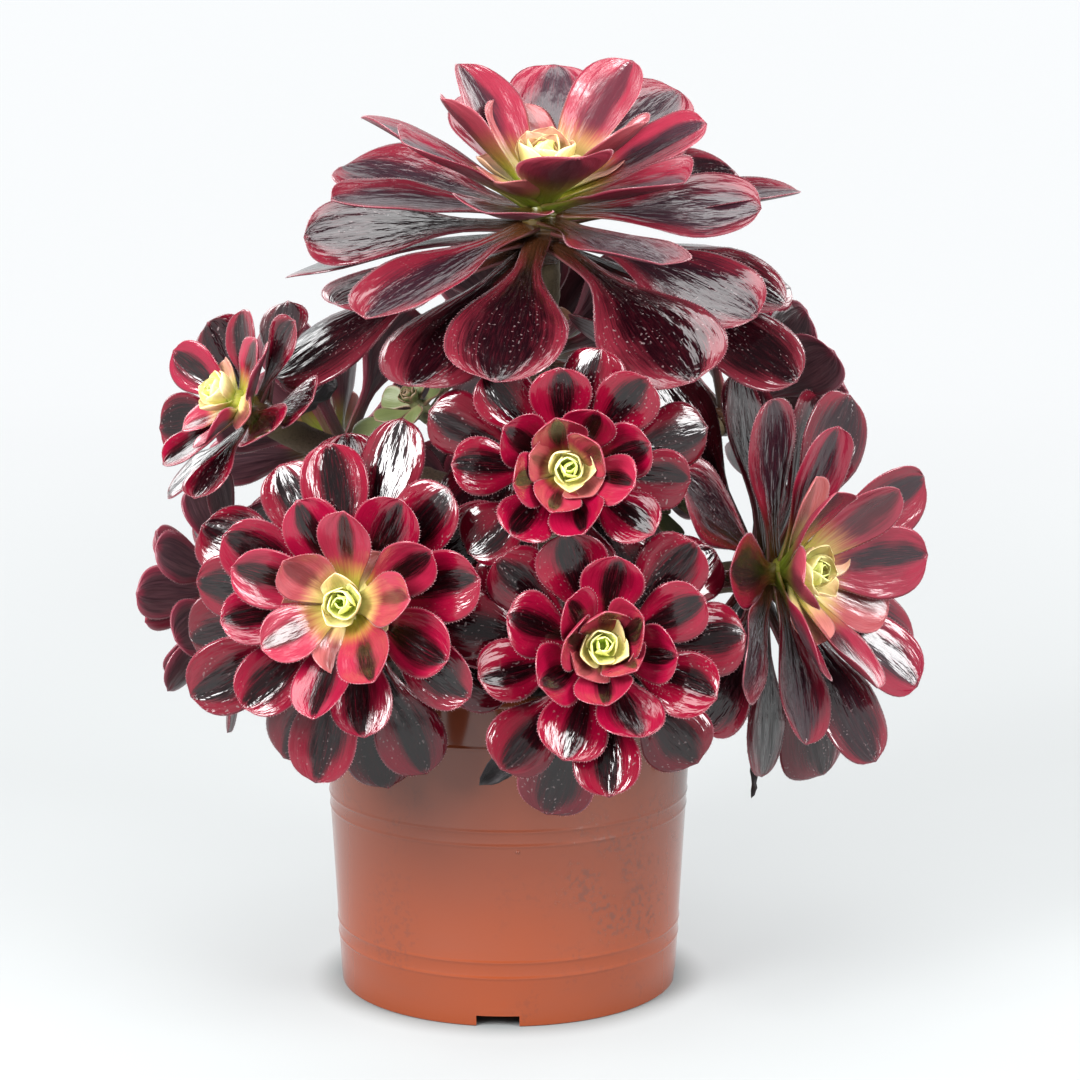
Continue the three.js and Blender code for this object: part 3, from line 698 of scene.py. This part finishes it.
def make_stem(material):
    trunk = trunk_line()
    branches = [*ROSETTES[1:], *SHOOTS]
    grid = math.ceil(math.sqrt(len(branches) + 1))
    surface = Surface()
    add_tube(surface, trunk, np.linspace(*TRUNK_RADII, len(trunk)), 0, grid, 0.4)
    for cell, rosette in enumerate(branches, 1):
        line = branch_line(rosette, trunk)
        radii = rosette["radius"] * np.linspace(0.95, 0.8, len(line))
        add_tube(surface, line, radii, cell, grid, 1.7 * cell)
    piece = surface.build("stem_bark", [material])
    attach(piece, "root")
    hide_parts("stem")
    return piece


def wandering(point, scale):
    """A smooth scattered direction for a point in space, the same on every run."""
    place = Vector(point) * scale
    return np.array([noise.noise(place + Vector((0, 0, 17.3 * k))) for k in range(3)])


def make_withered(material):
    """The dry leaves that still hang on the branches: crumpled, folded and black."""
    surface = Surface()
    for cell, row in enumerate(WITHERED):
        rosette = next(r for r in ROSETTES if r["name"] == row["on"])
        place = frame_of(rosette)
        leaf = SimpleNamespace(
            age=1, azimuth=math.radians(row["azimuth"]), length=row["length"], width=row["width"],
            root_height=-row["behind"], root_out=0, lean=math.radians(row["lean"]),
            bend=math.radians(row["bend"]), cup=0.6, twist=0.8, stalk=0.35, stalk_end=0.2, widest=0.7,
            thickness=1.8, draw=0.3 + 0.2 * cell, tone=1,
        )
        before = surface.count
        add_leaf(surface, place, leaf, cell, 2)
        points = surface.points[-1]
        for point in points[: surface.count - before]:
            crumple = 2.4 * wandering(point, 0.16) + 0.9 * wandering(point, 0.45)
            point += crumple * min(1, np.linalg.norm(point - place.base) / 20)
    piece = surface.build("withered_leaves", [material])
    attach(piece, "root")
    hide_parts("stem")
    return piece


# ---------------------------------------------------------------- pot and soil

def wall_radius(height):
    """Outer radius of the plain tapered wall at a height."""
    return mix(POT.base_radius, POT.rim_radius, height / POT.height)


def pot_profile():
    """The pot's section as (radius, height) points, from the middle of its underside to its inner floor."""
    floor = POT.channel_floor + POT.wall
    lip = POT.height - POT.lip_height
    outside = []
    for height in POT.ridges:
        for step, out in ((-1.4, 0), (-0.8, 0.3), (-0.3, 0.85), (0.0, 1), (0.3, 0.85), (0.8, 0.3), (1.4, 0)):
            outside.append((wall_radius(height + step) + POT.ridge_out * out, height + step))
    lip_out = POT.rim_radius + POT.lip_out
    return [
        (0, 0), (POT.pad_radius - 1, 0), (POT.pad_radius, 0.4), (POT.pad_radius + 5, POT.channel_floor),
        (POT.base_radius - POT.wall, POT.channel_floor), (POT.base_radius - POT.wall, 0.3),
        (POT.base_radius - POT.wall + 0.3, 0), (POT.base_radius - 0.7, 0), (POT.base_radius - 0.1, 0.5),
        (wall_radius(3), 3), *outside,
        (wall_radius(lip - 1.5), lip - 1.5), (wall_radius(lip) + 0.2, lip - 0.2),
        (wall_radius(lip) + POT.lip_out * 0.8, lip + 0.5), (wall_radius(lip) + POT.lip_out, lip + 1.2),
        (lip_out, POT.height - 1), (lip_out - 0.4, POT.height - 0.2), (lip_out - 1.2, POT.height),
        (POT.rim_radius - POT.wall + 0.4, POT.height), (POT.rim_radius - POT.wall, POT.height - 0.4),
        (POT.base_radius - POT.wall, floor), (POT.pad_radius + 5 - POT.wall / 2, floor),
        (POT.pad_radius - POT.wall / 2, POT.wall), (0, POT.wall),
    ]


def turned(profile, sides):
    """The (radius, height) points of a profile, each repeated round the Z axis."""
    ring = np.array(profile, float)
    turn = 2 * math.pi * np.arange(sides) / sides
    height = np.broadcast_to(ring[:, 1:], (len(ring), sides))
    return np.stack([ring[:, :1] * np.cos(turn), ring[:, :1] * np.sin(turn), height], -1).reshape(-1, 3)


def lathe(profile, sides):
    """Points and faces of a closed body turned about the Z axis, whose profile starts and ends on it."""
    poles = np.array([[0, 0, profile[0][1]], [0, 0, profile[-1][1]]], float)
    faces, _ = closed_faces(len(profile) - 2, sides)
    return np.concatenate([turned(profile[1:-1], sides), poles]), faces


def plain_object(name, points, faces, materials=()):
    mesh = bpy.data.meshes.new(name)
    corners = (np.asarray(points) * MM).tolist()
    mesh.from_pydata(corners, [], [list(map(int, face)) for group in faces for face in group])
    mesh.update()
    for material in materials:
        mesh.materials.append(material)
    piece = bpy.data.objects.new(name, mesh)
    bpy.context.scene.collection.objects.link(piece)
    return piece


def box_mesh(size, place, turn):
    """A box turned about Z, as points and faces."""
    corners = np.array([[x, y, z] for x in (-1, 1) for y in (-1, 1) for z in (-1, 1)]) * np.array(size) / 2
    corners += np.array(place)
    c, s = math.cos(turn), math.sin(turn)
    corners = corners @ np.array([[c, s, 0], [-s, c, 0], [0, 0, 1]])
    faces = [(0, 1, 3, 2), (4, 6, 7, 5), (0, 4, 5, 1), (2, 3, 7, 6), (0, 2, 6, 4), (1, 5, 7, 3)]
    return corners, faces


def cut_away(piece, cutters):
    """Takes the cutters' shapes out of a piece."""
    for cutter in cutters:
        modifier = piece.modifiers.new("cut", "BOOLEAN")
        modifier.operation, modifier.solver, modifier.object = "DIFFERENCE", "EXACT", cutter
    bpy.context.view_layer.update()
    depsgraph = bpy.context.evaluated_depsgraph_get()
    mesh = bpy.data.meshes.new_from_object(piece.evaluated_get(depsgraph))
    piece.modifiers.clear()
    piece.data = mesh
    for cutter in cutters:
        bpy.data.objects.remove(cutter)


def make_pot(material):
    points, faces = lathe(pot_profile(), POT.sides)
    pot = plain_object("pot_shell", points, faces, [material])
    cutters = []
    for i in range(POT.notches):
        angle = POT.notch_turn + i * 2 * math.pi / POT.notches
        size = (20, POT.notch_width, 2 * POT.notch_height)
        corners, sides = box_mesh(size, (POT.base_radius, 0, 0), angle)
        cutters.append(plain_object("notch", corners, [sides]))
    for i in range(POT.drains):
        angle = (i + 0.5) * 2 * math.pi / POT.drains
        centre = (POT.drain_circle * math.cos(angle), POT.drain_circle * math.sin(angle))
        rod, sides = lathe([(0, -4), (POT.drain_radius, -4), (POT.drain_radius, 4), (0, 4)], 32)
        rod += np.array([*centre, POT.channel_floor + POT.wall / 2])
        cutters.append(plain_object("drain", rod, sides))
    cut_away(pot, cutters)
    mesh = pot.data
    mesh.materials.clear()
    mesh.materials.append(material)
    mesh.shade_smooth()
    mesh.set_sharp_from_angle(angle=math.radians(32))
    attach(pot, "root")
    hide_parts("pot")
    return pot


def make_gate_mark(material):
    """The small round mark that the mould's gate left on the front of the wall."""
    radius = POT.gate_radius
    angles = np.linspace(-math.pi / 2, math.pi / 2, 9)
    profile = [(max(0.0, radius * math.cos(a)), radius * math.sin(a)) for a in angles]
    points, faces = lathe(profile, 16)
    out = wall_radius(POT.gate_height)
    points += np.array([out * math.cos(POT.gate_turn), out * math.sin(POT.gate_turn), POT.gate_height])
    mark = plain_object("pot_gate_mark", points, faces, [material])
    mark.data.shade_smooth()
    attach(mark, "root")
    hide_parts("pot")
    return mark


SOIL_RINGS = 34
SOIL_AROUND = 96
CRUMBS = 700
CRUMB_SIZES = (0.7, 2.6)


def soil_height(x, y):
    """Height of the soil's rough surface."""
    r = np.hypot(x, y)
    return SOIL_TOP + 3 * (1 - np.clip(r / 80, 0, 1)) - 1.5 * smooth_step(68, 82, r)


def make_soil(material):
    """Potting soil: a lumpy top, a plain body inside the pot, and loose granules."""
    rng = np.random.default_rng(11)
    floor = POT.channel_floor + POT.wall
    edge = wall_radius(SOIL_TOP) - POT.wall - 0.6
    radii = edge * np.linspace(0.03, 1, SOIL_RINGS)
    turn = 2 * math.pi * np.arange(SOIL_AROUND) / SOIL_AROUND
    r, a = np.meshgrid(radii[::-1], turn, indexing="ij")
    x, y = r * np.cos(a), r * np.sin(a)
    z = soil_height(x, y)
    lumps = np.array([
        1.6 * noise.noise((u * 0.16, v * 0.16, 1.0)) + 0.9 * noise.noise((u * 0.5, v * 0.5, 5.0))
        for u, v in zip(x.ravel(), y.ravel())
    ]).reshape(x.shape)
    top = np.stack([x, y, z + lumps - 0.6], -1).reshape(-1, 3)
    bottom_radius = wall_radius(floor) - POT.wall - 0.9
    foot = np.stack([
        bottom_radius * np.cos(turn), bottom_radius * np.sin(turn), np.full(SOIL_AROUND, floor + 0.3),
    ], 1)
    body = np.concatenate([foot, top])
    points = np.concatenate([body, [[0, 0, floor + 0.3], [0, 0, SOIL_TOP + 2.4]]])
    groups, _ = closed_faces(SOIL_RINGS + 1, SOIL_AROUND)
    all_points, all_faces = [points], [f for group in groups for f in group.tolist()]
    start = len(points)
    for _ in range(CRUMBS):
        size = rng.uniform(*CRUMB_SIZES)
        radius = (edge - 2) * math.sqrt(rng.uniform(0.03, 1))
        angle = rng.uniform(0, 2 * math.pi)
        x, y = radius * math.cos(angle), radius * math.sin(angle)
        granule, sides = granule_mesh(rng, size)
        all_points.append(granule + np.array([x, y, float(soil_height(x, y)) + size * 0.1]))
        all_faces.extend([[k + start for k in f] for f in sides])
        start += len(granule)
    soil = plain_object("soil_lumps", np.concatenate(all_points), [all_faces], [material])
    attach(soil, "root")
    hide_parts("soil")
    return soil


def granule_mesh(rng, size):
    """An irregular crumb: an octahedron with its edges split, pushed in and out."""
    ring = np.arange(6) * math.pi / 3
    points = [(0, 0, -1)]
    points += [(0.85 * math.cos(a), 0.85 * math.sin(a), -0.45) for a in ring]
    points += [(0.85 * math.cos(a + 0.5), 0.85 * math.sin(a + 0.5), 0.45) for a in ring]
    points += [(0, 0, 1)]
    dents = rng.uniform(0.7, 1.15, (14, 1))
    squash = np.array([1, rng.uniform(0.6, 1), 0.7])
    points = np.array(points) * dents * size * squash
    spin = rng.uniform(0, 2 * math.pi)
    c, s = math.cos(spin), math.sin(spin)
    points = points @ np.array([[c, s, 0], [-s, c, 0], [0, 0, 1]])
    faces = []
    for k in range(6):
        n = (k + 1) % 6
        faces += [(0, 1 + n, 1 + k), (1 + k, 1 + n, 7 + k), (1 + n, 7 + n, 7 + k), (13, 7 + k, 7 + n)]
    return points, faces


# ---------------------------------------------------------------- shaders

class Shader:
    """A material's node graph, written as nested calls. Every input is a socket, a number or a colour."""

    def __init__(self, name):
        self.material = bpy.data.materials.new(name)
        self.material.use_nodes = True
        self.tree = self.material.node_tree
        self.surface = self.tree.nodes["Principled BSDF"]

    def node(self, kind, inputs=(), output=0, **settings):
        made = self.tree.nodes.new("ShaderNode" + kind)
        for key, value in settings.items():
            setattr(made, key, value)
        for key, value in dict(inputs).items():
            self.feed(made.inputs[key], value)
        return made.outputs[output]

    def feed(self, socket, value):
        if isinstance(value, bpy.types.NodeSocket):
            self.tree.links.new(value, socket)
        elif isinstance(value, (tuple, list)) and len(value) == 3 and socket.type == "RGBA":
            socket.default_value = (*value, 1)
        else:
            socket.default_value = value

    def number(self, name):
        return self.node("Attribute", output="Fac", attribute_name=name)

    def vector(self, name):
        return self.node("Attribute", output="Vector", attribute_name=name)

    def math(self, operation, a, b=0.0, c=0.0):
        return self.node("Math", {0: a, 1: b, 2: c}, operation=operation)

    def add(self, a, b):
        return self.math("ADD", a, b)

    def times(self, a, b):
        return self.math("MULTIPLY", a, b)

    def step(self, low, high, x):
        """0 below low, 1 above high and smooth between."""
        return self.node(
            "MapRange", {"Value": x, "From Min": low, "From Max": high}, output="Result",
            interpolation_type="SMOOTHSTEP",
        )

    def fall(self, low, high, x):
        """1 below low, 0 above high and smooth between."""
        return self.math("SUBTRACT", 1.0, self.step(low, high, x))

    def between(self, a, b, share):
        return self.node("Mix", {"Factor": share, "A": a, "B": b}, output="Result")

    def blend(self, share, a, b, kind="MIX"):
        made = self.tree.nodes.new("ShaderNodeMix")
        made.data_type, made.blend_type = "RGBA", kind
        for index, value in ((0, share), (6, a), (7, b)):
            self.feed(made.inputs[index], value)
        return made.outputs[2]

    def ramp(self, x, stops):
        made = self.tree.nodes.new("ShaderNodeValToRGB")
        self.feed(made.inputs[0], x)
        elements = made.color_ramp.elements
        while len(elements) < len(stops):
            elements.new(1.0)
        for element, (position, colour) in zip(elements, stops):
            element.position = position
            element.color = (*colour, 1)
        return made.outputs[0]

    def scaled(self, vector, scale):
        return self.node("VectorMath", {0: vector, 1: scale}, operation="MULTIPLY")

    def noise(self, vector, scale, detail=3.0, roughness=0.5):
        inputs = {"Vector": vector, "Scale": scale, "Detail": detail, "Roughness": roughness}
        return self.node("TexNoise", inputs, output="Fac")

    def bump(self, height, distance, strength):
        inputs = {"Height": height, "Distance": distance, "Strength": strength}
        return self.node("Bump", inputs, output="Normal")

    def finish(self, **inputs):
        for key, value in inputs.items():
            self.feed(self.surface.inputs[key.replace("_", " ")], value)
        return self.material


def stretched(shader, along, across):
    """The leaf's own coordinates, in mm, drawn out along its length."""
    return shader.scaled(shader.vector("grain"), (along, across, 1.0))


SIDES_BY_AGE = (  # colour of the blade beside its stripe, from the heart to the oldest leaf
    (0.00, (0.60, 0.72, 0.14)), (0.06, (0.80, 0.82, 0.30)), (0.14, (0.84, 0.70, 0.34)),
    (0.20, (0.46, 0.15, 0.13)), (0.29, (0.27, 0.022, 0.045)), (0.45, (0.21, 0.002, 0.022)),
    (0.66, (0.15, 0.001, 0.013)), (0.86, (0.11, 0.0015, 0.0096)), (1.00, (0.074, 0.0015, 0.0067)),
)
STRIPE_BY_AGE = (  # colour of the stripe along the middle
    (0.00, (0.48, 0.62, 0.08)), (0.12, (0.40, 0.50, 0.06)), (0.17, (0.16, 0.17, 0.03)),
    (0.24, (0.018, 0.009, 0.004)), (0.40, (0.0044, 0.0009, 0.0013)), (0.70, (0.0026, 0.0005, 0.0009)),
    (1.00, (0.0050, 0.0006, 0.0014)),
)
ROOT_BY_AGE = (  # colour of the leaf's foot
    (0.00, (0.42, 0.62, 0.04)), (0.12, (0.70, 0.80, 0.16)), (0.23, (0.78, 0.72, 0.26)),
    (0.34, (0.34, 0.32, 0.03)), (0.52, (0.10, 0.033, 0.012)), (1.00, (0.033, 0.013, 0.0059)),
)


def leaf_material():
    """Glossy skin: a dark stripe along the middle, crimson beside it, lime and cream in the heart."""
    sh = Shader("aeonium_leaf")
    along, across, draw = sh.number("along"), sh.number("across"), sh.number("draw")
    age, rim, tone, under = sh.number("age"), sh.number("rim"), sh.number("tone"), sh.number("under")
    years = sh.node("MapRange", {"Value": age, "From Min": -0.2, "From Max": 1.0}, output="Result")
    dark_years = sh.add(years, sh.times(sh.times(tone, 0.24), sh.step(0.3, 0.6, years)))

    streaks = sh.noise(stretched(sh, 0.05, 0.9), 1.0, 2.0, 0.7)
    fine = sh.noise(stretched(sh, 0.11, 2.8), 1.0, 1.0, 0.6)
    patches = sh.noise(stretched(sh, 0.07, 0.14), 1.0, 0.0)
    ragged = sh.math("SUBTRACT", streaks, 0.5)

    dull = sh.times(sh.step(0.4, 0.8, tone), sh.step(0.2, 0.26, years))
    sides = sh.blend(sh.times(dull, 0.5), sh.ramp(dark_years, SIDES_BY_AGE), (0.15, 0.019, 0.03))
    sides = sh.blend(sh.times(sh.step(0.45, 0.75, fine), 0.3), sides, (0.50, 0.22, 0.35), "MULTIPLY")
    young_dull = sh.times(dull, sh.math("SUBTRACT", 0.7, sh.step(0.5, 0.9, years)))
    stripe = sh.blend(young_dull, sh.ramp(dark_years, STRIPE_BY_AGE), (0.037, 0.016, 0.025))
    stripe = sh.blend(sh.times(sh.step(0.5, 0.8, fine), 0.35), stripe, sides)
    root = sh.ramp(years, ROOT_BY_AGE)

    offset = sh.math("SUBTRACT", across, sh.times(sh.math("SUBTRACT", draw, 0.5), 0.3))
    from_middle = sh.add(sh.math("ABSOLUTE", offset), sh.times(sh.math("SUBTRACT", patches, 0.5), 0.35))
    width = sh.between(0.46, 0.86, sh.step(0.2, 1.0, dark_years))
    by_tone = sh.between(0.66, 1.0, sh.step(0.0, 0.4, tone))
    width = sh.times(width, sh.times(sh.between(0.8, 1.25, draw), by_tone))
    belly = sh.times(sh.step(0.1, 0.62, along), sh.between(1.0, 0.45, sh.step(0.8, 1.0, along)))
    reach = sh.times(width, sh.between(0.3, 1.0, belly))
    inside = sh.add(sh.math("DIVIDE", from_middle, reach), sh.times(ragged, 0.9))
    mask = sh.fall(0.45, 1.3, inside)
    start = sh.between(0.34, 0.0, sh.step(0.3, 0.6, years))
    mask = sh.times(mask, sh.step(start, sh.add(start, 0.24), sh.add(along, sh.times(ragged, 0.2))))
    mask = sh.times(mask, sh.between(0.35, 1.0, sh.step(0.3, 3.0, sh.add(rim, sh.times(ragged, 2.0)))))
    mask = sh.times(mask, sh.between(0.4, 1.0, sh.step(0.2, 0.36, years)))
    top = sh.blend(mask, sides, stripe)

    root_end = sh.between(0.66, 0.36, sh.step(0.15, 0.5, years))
    root_mask = sh.fall(0.1, root_end, sh.add(along, sh.times(ragged, 0.2)))
    top = sh.blend(root_mask, top, root)

    pale = sh.fall(0.05, sh.between(2.2, 0.6, sh.step(0.1, 0.25, years)), rim)
    pale_colour = sh.blend(sh.step(0.14, 0.22, years), (0.80, 0.72, 0.36), (0.34, 0.096, 0.12))
    cream = sh.times(sh.step(0.5, 0.7, tone), sh.fall(0.15, 0.22, years))
    cream_colour = sh.blend(sh.step(0.35, 1.0, along), (0.52, 0.44, 0.22), (0.46, 0.12, 0.12))
    cream_colour = sh.blend(sh.times(mask, 0.8), cream_colour, (0.16, 0.17, 0.08))
    top = sh.blend(sh.times(cream, 0.85), top, cream_colour)
    top = sh.blend(sh.times(pale, sh.between(0.6, 0.2, cream)), top, pale_colour)

    dust = sh.step(0.70, 0.78, sh.noise(sh.vector("grain"), 0.8, 0.0))
    dusty = sh.times(sh.step(0.45, 0.6, patches), sh.step(0.45, 0.8, years))
    top = sh.blend(sh.times(sh.times(dust, dusty), 0.45), top, (0.22, 0.17, 0.17))

    back = sh.blend(sh.step(0.35, 0.7, streaks), (0.074, 0.03, 0.037), (0.028, 0.0096, 0.015))
    rosy = sh.blend(sh.step(0.2, 0.9, draw), (0.17, 0.019, 0.037), (0.11, 0.013, 0.027))
    margin = sh.fall(0.5, 5.0, sh.add(rim, sh.times(ragged, 5.0)))
    back = sh.blend(margin, back, rosy)
    young_back = sh.blend(sh.times(mask, 0.85), sides, stripe)
    back = sh.blend(sh.step(0.3, 0.6, years), young_back, back)
    back_root = sh.blend(sh.step(0.25, 0.7, years), (0.21, 0.30, 0.022), (0.074, 0.033, 0.019))
    back_end = sh.between(0.75, 0.4, sh.step(0.25, 0.6, years))
    back = sh.blend(sh.fall(0.1, back_end, along), back, back_root)
    colour = sh.blend(under, top, back)

    crinkle = sh.noise(stretched(sh, 0.2, 0.8), 1.0, 1.0, 0.65)
    wrinkles = sh.noise(stretched(sh, 0.09, 0.26), 1.0, 0.0)
    normal = sh.bump(sh.add(sh.times(crinkle, 0.3), wrinkles), 0.0010, 0.6)
    rough = sh.between(0.23, 0.12, sh.step(0.3, 0.7, years))
    rough = sh.add(sh.between(rough, 0.36, under), sh.times(ragged, 0.15))
    return sh.finish(Base_Color=colour, Roughness=rough, Normal=normal, Specular_IOR_Level=0.55)


def hair_material():
    sh = Shader("aeonium_hairs")
    draw, age = sh.number("draw"), sh.number("age")
    colour = sh.blend(draw, (0.44, 0.27, 0.27), (0.41, 0.18, 0.21))
    colour = sh.blend(sh.step(0.5, 1.0, age), colour, (0.34, 0.13, 0.15))
    return sh.finish(Base_Color=colour, Roughness=0.4, Specular_IOR_Level=0.5)


def shoot_material():
    sh = Shader("aeonium_shoot")
    along, rim = sh.number("along"), sh.number("rim")
    veins = sh.noise(stretched(sh, 0.1, 2.0), 1.0, 3.0)
    green = sh.blend(veins, (0.074, 0.096, 0.03), (0.13, 0.15, 0.052))
    green = sh.blend(sh.fall(0.0, 0.5, along), green, (0.16, 0.16, 0.074))
    green = sh.blend(sh.times(sh.fall(0.2, 1.2, rim), 0.6), green, (0.17, 0.067, 0.052))
    normal = sh.bump(veins, 0.0003, 0.4)
    return sh.finish(Base_Color=green, Roughness=0.5, Normal=normal)


def bark_material():
    sh = Shader("aeonium_bark")
    place = sh.vector("grain")
    broad = sh.noise(place, 0.12, 3.0)
    fine = sh.noise(place, 0.9, 4.0, 0.65)
    colour = sh.blend(broad, (0.081, 0.048, 0.03), (0.15, 0.096, 0.063))
    colour = sh.blend(sh.step(0.45, 0.7, fine), colour, (0.041, 0.025, 0.018))
    green = sh.step(0.75, 1.0, sh.number("along"))
    colour = sh.blend(sh.times(green, 0.6), colour, (0.13, 0.10, 0.044))
    normal = sh.bump(fine, 0.0008, 0.6)
    return sh.finish(Base_Color=colour, Roughness=0.75, Normal=normal)


def withered_material():
    sh = Shader("withered_leaf")
    folds = sh.noise(stretched(sh, 0.12, 1.2), 1.0, 4.0, 0.7)
    colour = sh.blend(sh.step(0.4, 0.75, folds), (0.0044, 0.003, 0.0044), (0.033, 0.021, 0.024))
    rough = sh.between(0.35, 0.7, folds)
    return sh.finish(Base_Color=colour, Roughness=rough, Normal=sh.bump(folds, 0.001, 0.8))


def object_place(sh):
    return sh.node("TexCoord", output="Object")


POT_DUST = ((0.058, -0.062, 0.062), 0.055)  # centre and reach, in metres, of the dusty patch on the wall


def pot_material():
    """Glossy terracotta-coloured plastic, scuffed, with a patch of dried drops right of its middle. Its
    colour also holds painted shade and reflection: darker and duller high on the wall, brighter and more
    saturated orange low down.
    """
    sh = Shader("pot_plastic")
    place = object_place(sh)
    height = sh.node("SeparateXYZ", {"Vector": place}, output="Z")
    # Painted shade and reflection: the wall is brighter, more saturated orange low down and darker, duller
    # higher up.
    low = sh.fall(0.01, 0.09, height)
    colour = sh.blend(low, (0.14, 0.030, 0.012), (0.20, 0.034, 0.006))
    flow = sh.noise(sh.scaled(place, (1.0, 1.0, 3.0)), 18.0, 4.0)
    colour = sh.blend(sh.times(sh.step(0.4, 0.75, flow), 0.25), colour, (0.16, 0.038, 0.017))
    stains = sh.noise(place, 420.0, 4.0, 0.6)
    centre, reach = POT_DUST
    away = sh.node("VectorMath", {0: place, 1: centre}, output="Value", operation="DISTANCE")
    patch = sh.fall(reach * 0.4, reach, away)
    patch = sh.times(patch, sh.step(0.35, 0.6, sh.noise(place, 60.0, 3.0)))
    strays = sh.times(sh.step(0.55, 0.7, sh.noise(place, 26.0, 2.0)), 0.5)
    marks = sh.times(sh.step(0.5, 0.62, stains), sh.math("MAXIMUM", patch, strays))
    colour = sh.blend(sh.times(marks, 0.75), colour, (0.085, 0.024, 0.014))
    rough = sh.add(0.10, sh.add(sh.times(marks, 0.25), sh.add(sh.times(flow, 0.08), sh.times(patch, 0.08))))
    normal = sh.bump(sh.noise(place, 40.0, 2.0), 0.0012, 0.06)
    return sh.finish(Base_Color=colour, Roughness=rough, Normal=normal, Specular_IOR_Level=0.6)


def soil_material():
    sh = Shader("potting_soil")
    place = object_place(sh)
    coarse = sh.noise(place, 260.0, 3.0)
    fine = sh.noise(place, 1300.0, 3.0, 0.7)
    colour = sh.blend(coarse, (0.0089, 0.0052, 0.0037), (0.037, 0.022, 0.015))
    colour = sh.blend(sh.times(sh.step(0.6, 0.75, fine), 0.6), colour, (0.081, 0.056, 0.037))
    return sh.finish(Base_Color=colour, Roughness=0.9, Normal=sh.bump(fine, 0.0015, 0.9))


DIM_CENTRE = (0.0, -2.9, 1.4)  # middle, in metres, of the dim part of the wall at the camera's back


def floor_material():
    """Matt white paper with a faint glow: strong far off, weak at the camera's back, none under the pot, and
    fading out over a ring round the pot's foot, which is a painted contact shadow.
    """
    sh = Shader("studio_floor")
    place = object_place(sh)
    tint = sh.noise(place, 1.2, 2.0)
    colour = sh.blend(tint, (0.17, 0.18, 0.18), (0.18, 0.19, 0.19))
    away = sh.node("VectorMath", {0: place}, operation="LENGTH", output="Value")
    from_camera = sh.node("VectorMath", {0: place, 1: DIM_CENTRE}, output="Value", operation="DISTANCE")
    glow = sh.between(0.395, 0.765, sh.step(0.3, 2.4, away))
    # Painted contact shadow: the glow fades to nothing between 95 mm and 70 mm from the middle, which darkens
    # the floor round the pot's foot.
    glow = sh.times(glow, sh.step(0.070, 0.095, away))
    glow = sh.times(glow, sh.between(0.35, 1.0, sh.step(0.9, 2.2, from_camera)))
    sh.material.cycles.emission_sampling = "NONE"
    return sh.finish(
        Base_Color=colour, Roughness=0.8, Emission_Color=(0.975, 0.985, 1.0), Emission_Strength=glow,
    )


# ---------------------------------------------------------------- studio

def make_studio(material):
    """A round white cove: a floor that curves up into a wall on every side."""
    flat, curve, top = 2100, 800, 2600
    bend = np.linspace(0, math.pi / 2, 14)
    profile = [(0, 0), (400, 0), (1200, 0), (flat, 0)]
    profile += [(flat + curve * math.sin(a), curve * (1 - math.cos(a))) for a in bend[1:]]
    profile += [(flat + curve, top)]
    sides = 96
    points = turned(profile[1:], sides)
    quads, _ = ring_faces(len(profile) - 1, sides)
    faces = [quads[:, ::-1], fan(0, sides, len(points))]
    cove = plain_object("studio_cove", np.concatenate([points, [[0, 0, 0]]]), faces, [material])
    cove.data.shade_smooth()


def make_lights():
    for name, place, (width, height), power in SOFTBOXES:
        light = bpy.data.lights.new(name, "AREA")
        light.shape, light.size, light.size_y = "RECTANGLE", width * MM, height * MM
        light.energy = power
        lamp = bpy.data.objects.new(name, light)
        bpy.context.scene.collection.objects.link(lamp)
        lamp.location = Vector(place) * MM
        lamp.rotation_euler = (Vector(place) - Vector(LIGHT_AIM)).to_track_quat("Z", "Y").to_euler()
        lamp.visible_camera = False
    world = bpy.data.worlds.new("studio_air")
    bpy.context.scene.world = world
    world.use_nodes = True
    world.node_tree.nodes["Background"].inputs["Color"].default_value = AIR_COLOUR
    world.node_tree.nodes["Background"].inputs["Strength"].default_value = AIR_STRENGTH


def make_camera():
    data = bpy.data.cameras.new("photo_camera")
    data.sensor_width, data.lens, data.clip_end = 36, CAMERA_LENS, 20
    camera = bpy.data.objects.new("photo_camera", data)
    bpy.context.scene.collection.objects.link(camera)
    camera.location = Vector(CAMERA_PLACE) * MM
    camera.rotation_euler = (math.pi / 2 - CAMERA_DOWN, 0, 0)
    bpy.context.scene.camera = camera


# ---------------------------------------------------------------- everything together

make_camera()
make_lights()
make_studio(floor_material())

leaf_skin, hairs, shoot_skin = leaf_material(), hair_material(), shoot_material()
for rosette in ROSETTES:
    make_rosette(rosette, [leaf_skin, hairs])
for shoot in SHOOTS:
    make_rosette(shoot, [shoot_skin, hairs])
make_stem(bark_material())
make_withered(withered_material())
pot_skin = pot_material()
make_pot(pot_skin)
make_gate_mark(pot_skin)
make_soil(soil_material())

bpy.context.scene.view_settings.view_transform = "Standard"
